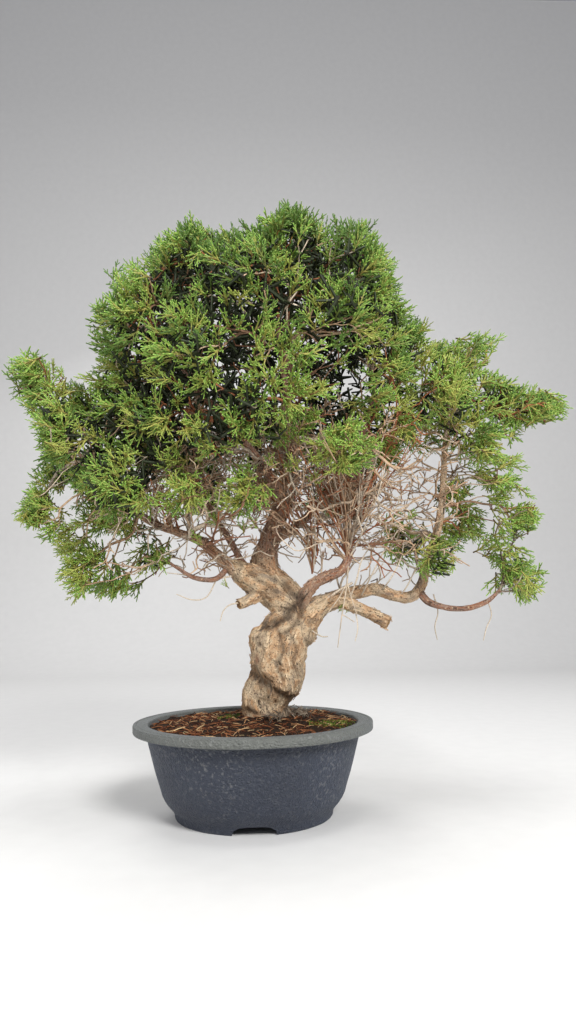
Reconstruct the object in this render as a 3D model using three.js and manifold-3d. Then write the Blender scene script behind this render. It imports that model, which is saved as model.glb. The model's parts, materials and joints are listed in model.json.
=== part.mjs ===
// Kishu juniper bonsai in a round training pot, with its soil, drainage mesh, wood and foliage pads.
// Lengths are millimetres and +Z is up. The pot stands on Z = 0 and the tree's front faces -Y.
// While the parts are made, X = Y = 0 is the pot's axis. The last step moves the whole group so that
// the origin is under the middle of the tree's overall width and depth.

import * as THREE from "three";
import { mergeVertices } from "three/addons/utils/BufferGeometryUtils.js";
import Module from "manifold-3d";

const wasm = await Module();
wasm.setup();

// Driving dimensions of the pot
const RIM_RADIUS = 120;
const POT_HEIGHT = 90;
const RIM_BAND = 8.4;
const RIM_EDGE = 1.4;
const MOUTH_RADIUS = 105;
const WALL = 4;
const WALL_TOP_RADIUS = 107.3;
const BELLY_RADIUS = 98.5;
const BELLY_HEIGHT = 42;
const SHOULDER_RADIUS = 86;
const SHOULDER_HEIGHT = 15;
const FOOT_RADIUS = 78;
const FOOT_INNER_RADIUS = 72.5;
const FOOT_WAIST_RADIUS = 79.8;
const FOOT_WAIST_HEIGHT = 7.5;
const UNDERSIDE_HEIGHT = 9.5;
const FLOOR_TOP = 13.5;
const DRAIN_RADIUS = 12;
const NOTCH_WIDTH = 42;
const NOTCH_HEIGHT = 8.4;
const NOTCHES = 3;
const NOTCH_INNER_RADIUS = 60;
const NOTCH_DEPTH = 30;

// The right half of a notch, each point a share of the notch's half width and of its height.
const NOTCH_HALF = [
  [1, -0.12],
  [0.95, 0.55],
  [0.8, 0.9],
];

// How finely the round parts are made
const ROUND_SIDES = 32;
const WALL_STEPS = 3;

// Driving dimensions of the mesh and the soil
const TOUCH_GAP = 0.35;
const MESH_RADIUS = 20;
const MESH_THICKNESS = 0.9;
const MESH_HOLE = 5;
const MESH_PITCH = 8;
const MESH_SIDES = 12;
const SOIL_EDGE_HEIGHT = 86.5;
const SOIL_EDGE_RADIUS = 103.4;
const SOIL_RINGS = [98, 68, 38];
const MOUND_HEIGHT = 11;
const MOUND_POWER = 1.5;
const LUMP_HEIGHT = 0.9;
const LUMP_LENGTH = 8.5;
const ROLL_LENGTH = 16;
const LUMP_FREE = 0.5;

// Driving dimensions of the wood
const TRUNK_X = 17;
const TRUNK_Y = 6;
const HOLE_GAP = 0.5;
const FLUTES = 3;
const ROOT_COUNT = 4;
const ROOT_TURN = 0.3;
const ROOT_REACH = 68;
const ROOT_RADIUS = 9;
const ROOT_SIDES = 4;
const ROOT_STEPS = 3;
const TWIG_ROOT_RADIUS = 2.7;
const TWIG_TIP_RADIUS = 1.3;
const TWIG_SIDES = 3;
const TWIG_STEPS = 2;
const TWIG_SAG = 0.06;
const TWIG_BEND = 0.1;
const TWIG_SHARE = 0.7;
const BEND_PLACE = 0.45;
const TURN_COST = 0.35;
const TIP_FAVOUR = 0.25;

// A hidden root, each point a share of its reach, a drop below the soil's edge and a share of its radius.
const ROOT_ROUTE = [
  [0, -4, 1.2],
  [0.35, 5, 1],
  [0.7, 16, 0.6],
  [1, 34, 0.3],
];

// Driving dimensions of the foliage
const GOLDEN_ANGLE = Math.PI * (3 - Math.sqrt(5));
const CORE_WIDTH = 0.56;
const CORE_DEPTH = 0.5;
const CORE_LUMPS = 0.2;
const CUP = 0.1;
const POLE = 0.9;
const LONG_SPRAY = {
  share: 0.1,
  places: [0.34, 0.66, 1],
  radii: [3.6, 2.3],
  rise: 0.16,
  shoots: [
    { segment: 0, side: 1, reach: 0.62 },
    { segment: 1, side: 0, reach: 0.55 },
    { segment: 1, side: 2, reach: 0.5 },
  ],
};
const SHORT_SPRAY = {
  share: 0.2,
  places: [0.45, 1],
  radii: [3.4],
  rise: 0.12,
  shoots: [
    { segment: 0, side: 0, reach: 0.72 },
    { segment: 0, side: 2, reach: 0.64 },
  ],
};
const SPIKE = { places: [1], radii: [], rise: 0.1, shoots: [] };
const SHOOT_RADIUS = 2.2;
const SIDE_SHOOT_ANGLE = 0.66;
const SIDE_SHOOT_START = 0.7;
const AIM_SPREAD = 0.5;
const AIM_RISE = 0.1;
const LONG_REACH = [0.94, 1.1];
const SHORT_REACH = [0.84, 1];
const SPIKE_REACH = [0.72, 0.84];
const INNER_SIDE = -0.42;
const SHORTENINGS = 4;
const SHORTENED = 0.84;
const SHOOT_CLEARANCE = 0.5;
const NEAR_PAD = 1.3;
const PARTS_PER_STEP = 2;
const TINY = 1e-9;
const FOLIAGE_SEED = 41;

// The crown: pads at even angles over the upper shell of a ball that is squared off a little.
const CROWN = {
  centre: [14, 0, 460],
  reach: [190, 150, 178],
  squareness: 2.6,
  pads: 27,
  padRadius: 54,
  lowest: -0.55,
};

// Pads of the side branches and of the low shoots, each [name, x, y, z, radius].
const SIDE_PADS = [
  ["left_tip", -229, -10, 437, 37],
  ["left_upper", -192, 26, 412, 40],
  ["left_front", -194, -50, 366, 38],
  ["left_inner", -136, -34, 384, 43],
  ["left_skirt_tip", -211, -12, 300, 37],
  ["left_skirt", -163, 24, 308, 41],
  ["left_droop", -163, -8, 240, 37],
  ["left_low", -124, -64, 320, 38],
  ["left_back", -172, 80, 356, 42],
  ["left_small", -104, 0, 250, 24],
  ["left_middle", -72, -62, 308, 32],
  ["right_shoulder", 240, 6, 472, 39],
  ["right_upper", 196, -48, 418, 40],
  ["right_back", 226, 60, 436, 42],
  ["right_arm", 277, 2, 422, 38],
  ["right_tip", 318, -8, 415, 33],
  ["right_inner", 238, -30, 372, 35],
  ["right_low", 270, 18, 346, 35],
  ["right_skirt", 285, 0, 294, 34],
  ["right_droop", 278, -8, 230, 35],
  ["right_middle", 240, 40, 284, 30],
  ["right_small", 194, -18, 248, 24],
  ["right_back_low", 176, 64, 276, 27],
  ["front_left", -14, -76, 306, 27],
  ["front_right", 92, -94, 346, 32],
  ["back_left", -60, 120, 348, 42],
  ["back_right", 110, 118, 352, 42],
];

// Limb routes, each point [x, y, z, radius], and how finely each is made.
const LIMBS = {
  root_left: {
    sides: 8,
    steps: 5,
    fluting: 0.06,
    route: [
      [0, 2, 78, 13],
      [4, 2, 93, 16],
      [0, 0, 112, 15],
      [6, -2, 127, 15.5],
      [15, -2, 141, 15],
    ],
  },
  trunk: {
    sides: 10,
    steps: 19,
    fluting: 0.07,
    route: [
      [TRUNK_X, TRUNK_Y, 62, 17],
      [TRUNK_X, TRUNK_Y, 86, 20],
      [17, 5, 108, 18.5],
      [25, 1, 132, 25],
      [24, 0, 153, 27],
      [32, 3, 172, 27],
      [40, 6, 190, 22],
      [31, 9, 208, 18.5],
      [16, 12, 222, 19],
      [10, 14, 240, 16],
      [17, 16, 269, 12.5],
      [29, 16, 297, 10.5],
      [38, 14, 318, 8.5],
    ],
  },
  leader_top: {
    sides: 5,
    steps: 7,
    fluting: 0,
    route: [
      [35, 15, 310, 6.8],
      [44, 10, 355, 6.8],
      [34, 4, 398, 6],
      [42, 0, 442, 5.2],
      [37, 4, 495, 4.4],
      [46, 0, 552, 3.2],
      [44, 0, 590, 2.4],
    ],
  },
  right_limb: {
    sides: 9,
    steps: 4,
    fluting: 0.04,
    route: [
      [46, 3, 180, 21],
      [57, 0, 194, 14],
      [70, -4, 206, 11],
      [86, -8, 210, 8.5],
    ],
  },
  right_stub: {
    sides: 8,
    steps: 4,
    fluting: 0.04,
    route: [
      [83, -7, 210, 7.5],
      [101, -14, 203, 6.6],
      [117, -20, 195, 6.3],
      [134, -26, 186, 6.8],
    ],
  },
  right_long_limb: {
    sides: 6,
    steps: 13,
    fluting: 0.03,
    route: [
      [68, 0, 203, 9],
      [92, 8, 213, 7.9],
      [117, 12, 218, 7],
      [132, 14, 220, 7],
      [152, 14, 213, 6],
      [169, 12, 212, 5.8],
      [179, 10, 223, 5.4],
      [186, 8, 247, 4.9],
      [196, 6, 273, 4.6],
      [205, 6, 310, 4.2],
      [208, 5, 340, 3.8],
      [212, 4, 381, 3.2],
      [222, 4, 420, 2.6],
    ],
  },
  right_low_limb: {
    sides: 4,
    steps: 7,
    fluting: 0,
    route: [
      [176, 11, 218, 4.6],
      [186, 6, 206, 3.8],
      [206, 0, 199, 3.2],
      [226, -4, 199, 2.8],
      [244, -6, 205, 2.4],
      [258, -8, 216, 2],
    ],
  },
  middle_branch: {
    sides: 6,
    steps: 10,
    fluting: 0.03,
    route: [
      [48, -4, 202, 7.5],
      [55, -10, 216, 6.8],
      [65, -14, 227, 6.2],
      [78, -16, 233, 6],
      [91, -18, 239, 5.6],
      [98, -18, 250, 5.1],
      [101, -18, 264, 4.6],
      [108, -24, 290, 3.7],
      [116, -36, 328, 3],
      [122, -46, 366, 2.4],
    ],
  },
  left_limb: {
    sides: 6,
    steps: 10,
    fluting: 0.03,
    route: [
      [10, 10, 225, 10],
      [-9, 2, 232, 7.6],
      [-23, -6, 244, 6.7],
      [-39, -12, 259, 6],
      [-56, -16, 272, 5.1],
      [-78, -18, 280, 4.5],
      [-103, -20, 290, 4],
      [-130, -20, 311, 3.4],
      [-158, -18, 338, 2.8],
      [-186, -16, 372, 2.2],
    ],
  },
  red_branch: {
    sides: 5,
    steps: 7,
    fluting: 0,
    route: [
      [-4, 12, 238, 6.4],
      [-14, 20, 256, 4.9],
      [-26, 28, 278, 4.6],
      [-40, 38, 301, 4.2],
      [-54, 50, 330, 3.7],
      [-70, 62, 366, 3.1],
      [-82, 70, 404, 2.4],
    ],
  },
  left_stub: {
    sides: 8,
    steps: 3,
    fluting: 0.04,
    route: [
      [20, 4, 218, 8],
      [3, -6, 213, 6],
      [-13, -14, 206, 5.6],
    ],
  },
  left_low_limb: {
    sides: 4,
    steps: 5,
    fluting: 0,
    route: [
      [-24, -7, 245, 3.6],
      [-38, -12, 232, 2.8],
      [-58, -14, 233, 2.4],
      [-76, -12, 243, 2],
      [-92, -6, 254, 1.6],
    ],
  },
  right_upper_limb: {
    sides: 5,
    steps: 5,
    fluting: 0,
    route: [
      [20, 16, 274, 8],
      [48, 20, 290, 5],
      [76, 26, 318, 4.4],
      [104, 34, 356, 3.8],
      [128, 38, 402, 3.2],
      [142, 34, 450, 2.4],
    ],
  },
  left_upper_limb: {
    sides: 5,
    steps: 5,
    fluting: 0,
    route: [
      [32, 12, 322, 7],
      [10, 0, 356, 4.4],
      [-18, -12, 388, 3.9],
      [-50, -20, 424, 3.4],
      [-84, -22, 466, 2.8],
      [-104, -20, 512, 2.2],
    ],
  },
  back_limb: {
    sides: 5,
    steps: 5,
    fluting: 0,
    route: [
      [36, 16, 312, 7],
      [38, 44, 336, 4.4],
      [34, 68, 372, 3.8],
      [30, 82, 420, 3.2],
      [28, 88, 470, 2.4],
    ],
  },
  front_limb: {
    sides: 5,
    steps: 5,
    fluting: 0,
    route: [
      [42, 8, 344, 6.4],
      [44, -18, 364, 4.2],
      [40, -44, 394, 3.7],
      [32, -66, 432, 3.2],
      [26, -80, 480, 2.4],
    ],
  },
};

// Colour, roughness and metalness of each material
const MATERIALS = {
  pot: { color: 0x474b56, roughness: 0.62, metalness: 0 },
  mesh: { color: 0x1f2421, roughness: 0.7, metalness: 0 },
  soil: { color: 0x3a2a1e, roughness: 0.95, metalness: 0 },
  wood: { color: 0xa48a6c, roughness: 0.85, metalness: 0 },
  foliage: { color: 0x5c8443, roughness: 0.6, metalness: 0 },
};

// Small tools

// A repeatable stream of numbers from 0 to 1.
function numberStream(seed) {
  let state = seed;
  return () => {
    state = (state + 0x6d2b79f5) | 0;
    let value = Math.imul(state ^ (state >>> 15), 1 | state);
    value = (value + Math.imul(value ^ (value >>> 7), 61 | value)) ^ value;
    return ((value ^ (value >>> 14)) >>> 0) / 2 ** 32;
  };
}

// A closed geometry as a solid that can be joined and cut.
function solidOf(geometry) {
  const bare = geometry.clone();
  bare.deleteAttribute("normal");
  bare.deleteAttribute("uv");
  const merged = mergeVertices(bare, 1e-3);
  return new wasm.Manifold(
    new wasm.Mesh({
      numProp: 3,
      vertProperties: new Float32Array(merged.attributes.position.array),
      triVerts: new Uint32Array(merged.index.array),
    }),
  );
}

// A joined solid back as a geometry.
function geometryOf(solid) {
  const mesh = solid.getMesh();
  const geometry = new THREE.BufferGeometry();
  const positions = new Float32Array(mesh.numVert * 3);
  for (let i = 0; i < mesh.numVert; i += 1) {
    const start = i * mesh.numProp;
    positions.set(mesh.vertProperties.subarray(start, start + 3), i * 3);
  }
  geometry.setAttribute("position", new THREE.BufferAttribute(positions, 3));
  geometry.setIndex(new THREE.BufferAttribute(new Uint32Array(mesh.triVerts), 1));
  geometry.computeVertexNormals();
  return geometry;
}

// The largest body of a solid, without the loose scraps that a cut can leave.
function largestBody(solid) {
  const bodies = solid.decompose();
  return bodies.reduce((best, body) => (body.volume() > best.volume() ? body : best));
}

function namedMesh(name, solid, finish) {
  const material = new THREE.MeshStandardMaterial({ ...MATERIALS[finish], flatShading: true });
  const mesh = new THREE.Mesh(geometryOf(solid), material);
  mesh.name = name;
  return mesh;
}

// A profile of [radius, height] points turned about the vertical axis.
function turned(profile) {
  const points = profile.map(([radius, height]) => new THREE.Vector2(radius, height));
  return new THREE.LatheGeometry(points, ROUND_SIDES).rotateX(Math.PI / 2);
}

// A round limb that follows a route of [x, y, z, radius] points. grow adds to its radius everywhere.
function limbGeometry({ route, sides, steps, fluting }, grow = 0) {
  const curve = new THREE.CatmullRomCurve3(
    route.map(([x, y, z]) => new THREE.Vector3(x, y, z)),
    false,
    "centripetal",
  );
  const positions = [];
  const across = new THREE.Vector3(0, 1, 0);
  for (let step = 0; step <= steps; step += 1) {
    const t = step / steps;
    const along = curve.getTangent(t);
    across.addScaledVector(along, -across.dot(along)).normalize();
    const beside = new THREE.Vector3().crossVectors(along, across);
    const centre = curve.getPoint(t);
    const place = t * (route.length - 1);
    const before = Math.min(Math.floor(place), route.length - 2);
    const radius = THREE.MathUtils.lerp(route[before][3], route[before + 1][3], place - before) + grow;
    for (let side = 0; side < sides; side += 1) {
      const angle = (side * 2 * Math.PI) / sides;
      const ridged = radius * (1 + fluting * Math.cos(FLUTES * angle + place));
      const corner = centre.clone().addScaledVector(across, ridged * Math.cos(angle));
      corner.addScaledVector(beside, ridged * Math.sin(angle));
      positions.push(corner.x, corner.y, corner.z);
    }
  }
  const faces = [];
  const last = steps * sides;
  for (let side = 0; side < sides; side += 1) {
    const next = (side + 1) % sides;
    for (let step = 0; step < steps; step += 1) {
      const low = step * sides;
      const high = low + sides;
      faces.push(low + side, low + next, high + next, low + side, high + next, high + side);
    }
    if (side > 0 && side < sides - 1) {
      faces.push(0, next, side, last, last + side, last + next);
    }
  }
  const geometry = new THREE.BufferGeometry();
  geometry.setAttribute("position", new THREE.Float32BufferAttribute(positions, 3));
  geometry.setIndex(faces);
  return geometry;
}

// Pot

function potSolid() {
  const outside = new THREE.QuadraticBezierCurve(
    new THREE.Vector2(SHOULDER_RADIUS, SHOULDER_HEIGHT),
    new THREE.Vector2(BELLY_RADIUS, BELLY_HEIGHT),
    new THREE.Vector2(WALL_TOP_RADIUS, POT_HEIGHT - RIM_BAND),
  );
  const outer = outside.getPoints(WALL_STEPS).map((point) => [point.x, point.y]);
  const inner = innerWall(WALL_STEPS);
  return solidOf(
    turned([
      [DRAIN_RADIUS, UNDERSIDE_HEIGHT],
      [FOOT_INNER_RADIUS, UNDERSIDE_HEIGHT],
      [FOOT_INNER_RADIUS, 0],
      [FOOT_RADIUS, 0],
      [FOOT_WAIST_RADIUS, FOOT_WAIST_HEIGHT],
      ...outer,
      [RIM_RADIUS - RIM_EDGE, POT_HEIGHT - RIM_BAND],
      [RIM_RADIUS, POT_HEIGHT - RIM_BAND + RIM_EDGE],
      [RIM_RADIUS, POT_HEIGHT - RIM_EDGE],
      [RIM_RADIUS - RIM_EDGE, POT_HEIGHT],
      [MOUTH_RADIUS, POT_HEIGHT],
      ...inner,
      [DRAIN_RADIUS, FLOOR_TOP],
      [DRAIN_RADIUS, UNDERSIDE_HEIGHT],
    ]),
  ).subtract(footNotches());
}

// Points [radius, height] down the inside of the wall, from the mouth to the floor.
function innerWall(steps) {
  const inside = new THREE.QuadraticBezierCurve(
    new THREE.Vector2(WALL_TOP_RADIUS - WALL, POT_HEIGHT - RIM_BAND),
    new THREE.Vector2(BELLY_RADIUS - WALL, BELLY_HEIGHT),
    new THREE.Vector2(SHOULDER_RADIUS - WALL, FLOOR_TOP),
  );
  return inside.getPoints(steps).map((point) => [point.x, point.y]);
}

// Cuts through the foot ring, one towards the front and the others at even angles.
function footNotches() {
  const right = NOTCH_HALF.map(
    ([across, up]) => new THREE.Vector2((across * NOTCH_WIDTH) / 2, up * NOTCH_HEIGHT),
  );
  const left = right.map(({ x, y }) => new THREE.Vector2(-x, y)).reverse();
  const outline = new THREE.Shape([...right, new THREE.Vector2(0, NOTCH_HEIGHT), ...left]);
  const cuts = [];
  for (let i = 0; i < NOTCHES; i += 1) {
    const cut = new THREE.ExtrudeGeometry(outline, { depth: NOTCH_DEPTH, bevelEnabled: false });
    cut.rotateX(Math.PI / 2);
    cut.translate(0, -NOTCH_INNER_RADIUS, 0);
    cut.rotateZ((i * 2 * Math.PI) / NOTCHES);
    cuts.push(solidOf(cut));
  }
  return cuts.reduce((joined, cut) => joined.add(cut));
}

// Drainage mesh over the hole in the pot's floor

function meshSolid() {
  const plate = new THREE.CylinderGeometry(MESH_RADIUS, MESH_RADIUS, MESH_THICKNESS, MESH_SIDES);
  plate.rotateX(Math.PI / 2);
  let solid = solidOf(plate);
  for (let column = -1; column <= 1; column += 1) {
    for (let row = -1; row <= 1; row += 1) {
      const hole = new THREE.BoxGeometry(MESH_HOLE, MESH_HOLE, MESH_THICKNESS * 2);
      hole.translate(column * MESH_PITCH, row * MESH_PITCH, 0);
      solid = solid.subtract(solidOf(hole));
    }
  }
  return solid;
}

// Soil: fills the pot from the floor to just below the rim and rises to the trunk.

function soilSolid(wood) {
  const wall = innerWall(WALL_STEPS).map(([radius, height]) => [radius - TOUCH_GAP, height]);
  const floor = FLOOR_TOP + TOUCH_GAP;
  wall[WALL_STEPS][1] = floor;
  const overMesh = floor + MESH_THICKNESS + TOUCH_GAP;
  const geometry = turned([
    [0, overMesh],
    [MESH_RADIUS + TOUCH_GAP, overMesh],
    [MESH_RADIUS + TOUCH_GAP, floor],
    ...wall.reverse(),
    [SOIL_EDGE_RADIUS, SOIL_EDGE_HEIGHT],
    ...SOIL_RINGS.map((radius) => [radius, SOIL_EDGE_HEIGHT]),
    [0, SOIL_EDGE_HEIGHT],
  ]);
  const positions = geometry.attributes.position;
  for (let i = 0; i < positions.count; i += 1) {
    const x = positions.getX(i);
    const y = positions.getY(i);
    const isTop = positions.getZ(i) > SOIL_EDGE_HEIGHT - TOUCH_GAP;
    if (isTop && Math.hypot(x, y) < (SOIL_RINGS[0] + SOIL_EDGE_RADIUS) / 2) {
      positions.setZ(i, soilHeight(x, y));
    }
  }
  return solidOf(geometry).subtract(wood);
}

// Height of the soil's top: a mound about the trunk with low lumps.
function soilHeight(x, y) {
  const away = Math.hypot(x - TRUNK_X, y - TRUNK_Y) / SOIL_RINGS[0];
  const mound = MOUND_HEIGHT * Math.max(0, 1 - away) ** MOUND_POWER;
  const lumps = Math.sin(x / LUMP_LENGTH) * Math.cos(y / LUMP_LENGTH) + Math.sin((x - y) / ROLL_LENGTH);
  return SOIL_EDGE_HEIGHT + mound + LUMP_HEIGHT * lumps * Math.min(1, away / LUMP_FREE);
}

// Wood

// Hidden roots, which run out and down in the soil.
function rootLimbs() {
  const roots = [];
  for (let i = 0; i < ROOT_COUNT; i += 1) {
    const angle = ((i + ROOT_TURN) * 2 * Math.PI) / ROOT_COUNT;
    const route = ROOT_ROUTE.map(([share, drop, thick]) => [
      TRUNK_X + Math.cos(angle) * ROOT_REACH * share,
      TRUNK_Y + Math.sin(angle) * ROOT_REACH * share,
      SOIL_EDGE_HEIGHT - drop,
      ROOT_RADIUS * thick,
    ]);
    roots.push({ sides: ROOT_SIDES, steps: ROOT_STEPS, fluting: 0, route });
  }
  return roots;
}

// The limbs' places that a twig can start from. The last place of a limb is its tip.
function placesOf(limb) {
  const points = limb.route.map(([x, y, z]) => new THREE.Vector3(x, y, z));
  const places = [];
  for (let i = 1; i < points.length; i += 1) {
    for (const share of [0.5, 1]) {
      places.push({
        limb,
        point: points[i - 1].clone().lerp(points[i], share),
        heading: points[i].clone().sub(points[i - 1]).normalize(),
        radius: THREE.MathUtils.lerp(limb.route[i - 1][3], limb.route[i][3], share),
        isTip: i === points.length - 1 && share === 1,
      });
    }
  }
  return places;
}

// Each pad is fed from the nearest wood that heads its way. A limb's own tip is carried on to the
// pad, and from any other place a twig grows. Twigs grow from twigs too. Returns the limbs and twigs.
function fedLimbs(pads) {
  const limbs = Object.fromEntries(
    Object.entries(LIMBS).map(([name, limb]) => [name, { ...limb, route: [...limb.route] }]),
  );
  const feeding = Object.keys(limbs).filter((name) => !/root|trunk|stub/.test(name));
  let places = feeding.flatMap((name) => placesOf(limbs[name]));
  const reachOf = (pad) => Math.min(...places.map(({ point }) => point.distanceTo(pad.centre)));
  const order = [...pads].sort((a, b) => reachOf(a) - reachOf(b));
  const twigs = [];
  for (const pad of order) {
    const cost = ({ point, heading, isTip }) => {
      const way = pad.centre.clone().sub(point);
      const turn = way.clone().normalize().dot(heading);
      return way.length() * (1 + TURN_COST * (1 - turn) - (isTip ? TIP_FAVOUR : 0));
    };
    const from = places.reduce((best, place) => (cost(place) < cost(best) ? place : best));
    const way = pad.centre.clone().sub(from.point);
    const bend = from.point.clone().addScaledVector(way, BEND_PLACE);
    bend.addScaledVector(from.heading, TWIG_BEND * way.length());
    bend.z -= TWIG_SAG * way.length();
    pad.facing = pad.centre.clone().sub(bend).normalize();
    const end = pad.centre.clone().addScaledVector(pad.facing, -CUP * pad.radius - TWIG_TIP_RADIUS);
    const root = Math.min(TWIG_ROOT_RADIUS, from.radius * TWIG_SHARE);
    const rest = [
      [bend.x, bend.y, bend.z, (root + TWIG_TIP_RADIUS) / 2],
      [end.x, end.y, end.z, TWIG_TIP_RADIUS],
    ];
    if (from.isTip) {
      from.limb.route.push(...rest);
      from.limb.steps += rest.length;
      places = places.filter((place) => place !== from);
    } else {
      const { x, y, z } = from.point;
      const twig = { sides: TWIG_SIDES, steps: TWIG_STEPS, fluting: 0, route: [[x, y, z, root], ...rest] };
      twigs.push(twig);
      places.push(...placesOf(twig).filter((place) => !place.isTip));
    }
  }
  return { limbs, twigs };
}

// Foliage

// Names, centres and sizes of all the pads.
function padPlaces() {
  const pads = [];
  const [wide, deep, tall] = CROWN.reach.map((reach) => reach - CROWN.padRadius);
  for (let i = 0; i < CROWN.pads; i += 1) {
    const rise = CROWN.lowest + ((1 - CROWN.lowest) * (i + 0.5)) / CROWN.pads;
    const flat = Math.sqrt(1 - rise * rise);
    const angle = i * GOLDEN_ANGLE;
    const heading = [flat * Math.cos(angle), flat * Math.sin(angle), rise];
    const power = CROWN.squareness;
    const size = heading.reduce((sum, part) => sum + Math.abs(part) ** power, 0) ** (1 / power);
    const out = new THREE.Vector3(wide * heading[0], deep * heading[1], tall * heading[2]);
    pads.push({
      name: `crown_${String(i + 1).padStart(2, "0")}`,
      centre: new THREE.Vector3(...CROWN.centre).addScaledVector(out, 1 / size),
      radius: CROWN.padRadius,
    });
  }
  for (const [name, x, y, z, radius] of SIDE_PADS) {
    pads.push({ name, centre: new THREE.Vector3(x, y, z), radius });
  }
  return pads;
}

// Shortest distance between two straight pieces a-b and c-d.
function gapBetween(a, b, c, d) {
  const u = b.clone().sub(a);
  const v = d.clone().sub(c);
  const w = a.clone().sub(c);
  const uu = u.dot(u);
  const vv = v.dot(v);
  const uv = u.dot(v);
  const uw = u.dot(w);
  const vw = v.dot(w);
  const spread = uu * vv - uv * uv;
  let s = spread > TINY ? THREE.MathUtils.clamp((uv * vw - vv * uw) / spread, 0, 1) : 0;
  let t = vv > TINY ? (uv * s + vw) / vv : 0;
  t = THREE.MathUtils.clamp(t, 0, 1);
  s = uu > TINY ? THREE.MathUtils.clamp((uv * t - uw) / uu, 0, 1) : 0;
  return w.addScaledVector(u, s).addScaledVector(v, -t).length();
}

// The small lumpy core of a pad, which its sprays stand out of, as corners and faces. The corner
// that faces the twig is pushed in, so that the twig's end stands in a cup.
function padCore(pad, random) {
  const ball = new THREE.OctahedronGeometry(1, 1);
  ball.deleteAttribute("normal");
  ball.deleteAttribute("uv");
  const merged = mergeVertices(ball, 1e-3);
  const turn = new THREE.Quaternion().setFromUnitVectors(new THREE.Vector3(0, 0, 1), pad.facing);
  const corners = [];
  for (let i = 0; i < merged.attributes.position.count; i += 1) {
    const lump = pad.radius * (1 + CORE_LUMPS * (2 * random() - 1));
    const corner = new THREE.Vector3().fromBufferAttribute(merged.attributes.position, i);
    const isCup = corner.z < -POLE;
    corner.multiply(new THREE.Vector3(CORE_WIDTH, CORE_WIDTH, CORE_DEPTH)).multiplyScalar(lump);
    if (isCup) {
      corner.set(0, 0, -CUP * pad.radius);
    }
    corners.push(corner.applyQuaternion(turn));
  }
  const faces = [];
  for (let i = 0; i < merged.index.count; i += 3) {
    faces.push([merged.index.getX(i), merged.index.getX(i + 1), merged.index.getX(i + 2)]);
  }
  return { corners, faces };
}

// Where one spray of a pad runs: its stem from a face of the core to its tip, and its side shoots.
function sprayPlan(core, face, kind, direction, length) {
  const [a, b, c] = face.map((index) => core.corners[index]);
  const root = faceCentre(core, face);
  const stem = kind.places.map((place) => {
    const point = root.clone().addScaledVector(direction, length * place);
    point.z += kind.rise * length * place * place;
    return point;
  });
  const spokes = [a, b, c].map((corner) => {
    const spoke = corner.clone().sub(root);
    return spoke.addScaledVector(direction, -spoke.dot(direction)).normalize();
  });
  const shoots = kind.shoots.map(({ segment, side, reach }) => {
    const low = segment === 0 ? root : stem[segment - 1];
    const outward = spokes[side].clone().add(spokes[(side + 1) % 3]).normalize();
    const way = direction.clone().multiplyScalar(Math.cos(SIDE_SHOOT_ANGLE));
    way.addScaledVector(outward, Math.sin(SIDE_SHOOT_ANGLE));
    const start = low.clone().lerp(stem[segment], SIDE_SHOOT_START);
    return { segment, side, start, tip: start.clone().addScaledVector(way, length * reach) };
  });
  return { face, root, radii: kind.radii, stem, spokes, shoots };
}

// Pulls a planned spray out of the core: the face opens into the stem's rings, and each side shoot
// is one small face of the stem drawn out to a point.
function pullSpray(core, { face, radii, stem, spokes, shoots }) {
  core.faces.splice(core.faces.indexOf(face), 1);
  let ring = face;
  stem.slice(0, -1).forEach((centre, segment) => {
    const next = spokes.map((spoke) => {
      core.corners.push(centre.clone().addScaledVector(spoke, radii[segment]));
      return core.corners.length - 1;
    });
    for (let side = 0; side < 3; side += 1) {
      const beside = (side + 1) % 3;
      const upper = [ring[side], next[beside], next[side]];
      core.faces.push([ring[side], ring[beside], next[beside]]);
      const shoot = shoots.find((one) => one.segment === segment && one.side === side);
      if (shoot) {
        core.corners.push(shoot.tip);
        closeToPoint(core, upper);
      } else {
        core.faces.push(upper);
      }
    }
    ring = next;
  });
  core.corners.push(stem[stem.length - 1]);
  closeToPoint(core, ring);
}

// Three faces from a triangle's edges to the corner that was added last.
function closeToPoint(core, [a, b, c]) {
  const tip = core.corners.length - 1;
  core.faces.push([a, b, tip], [b, c, tip], [c, a, tip]);
}

// A pad: every face of its core that looks outwards is drawn out to a long spray, a short spray or
// a single shoot, and all of them stay clear of whatever another node has taken.
function padSolid(pad, taken, random) {
  const core = padCore(pad, random);
  const between = ([low, high]) => low + (high - low) * random();
  const outer = core.faces.filter((face) => faceCentre(core, face).normalize().dot(pad.facing) > INNER_SIDE);
  for (const face of outer) {
    const draw = random();
    const isLong = draw < LONG_SPRAY.share;
    const isShort = draw < LONG_SPRAY.share + SHORT_SPRAY.share;
    const kind = isLong ? LONG_SPRAY : isShort ? SHORT_SPRAY : SPIKE;
    const reach = pad.radius * between(isLong ? LONG_REACH : isShort ? SHORT_REACH : SPIKE_REACH);
    const direction = faceCentre(core, face).normalize();
    direction.x += AIM_SPREAD * (random() - 0.5);
    direction.y += AIM_SPREAD * (random() - 0.5);
    direction.z += AIM_SPREAD * (random() - 0.5) + AIM_RISE;
    direction.normalize();
    let length = reach - faceCentre(core, face).length();
    for (let attempt = 0; attempt < SHORTENINGS; attempt += 1) {
      const plan = sprayPlan(core, face, kind, direction, length);
      if (sprayIsClear(plan, pad, taken)) {
        pullSpray(core, plan);
        taken.push(...sprayPieces(plan, pad));
        break;
      }
      length *= SHORTENED;
    }
  }
  const geometry = new THREE.BufferGeometry();
  const corners = core.corners.flatMap((corner) => corner.toArray());
  geometry.setAttribute("position", new THREE.Float32BufferAttribute(corners, 3));
  geometry.setIndex(core.faces.flat());
  return solidOf(geometry);
}

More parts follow.
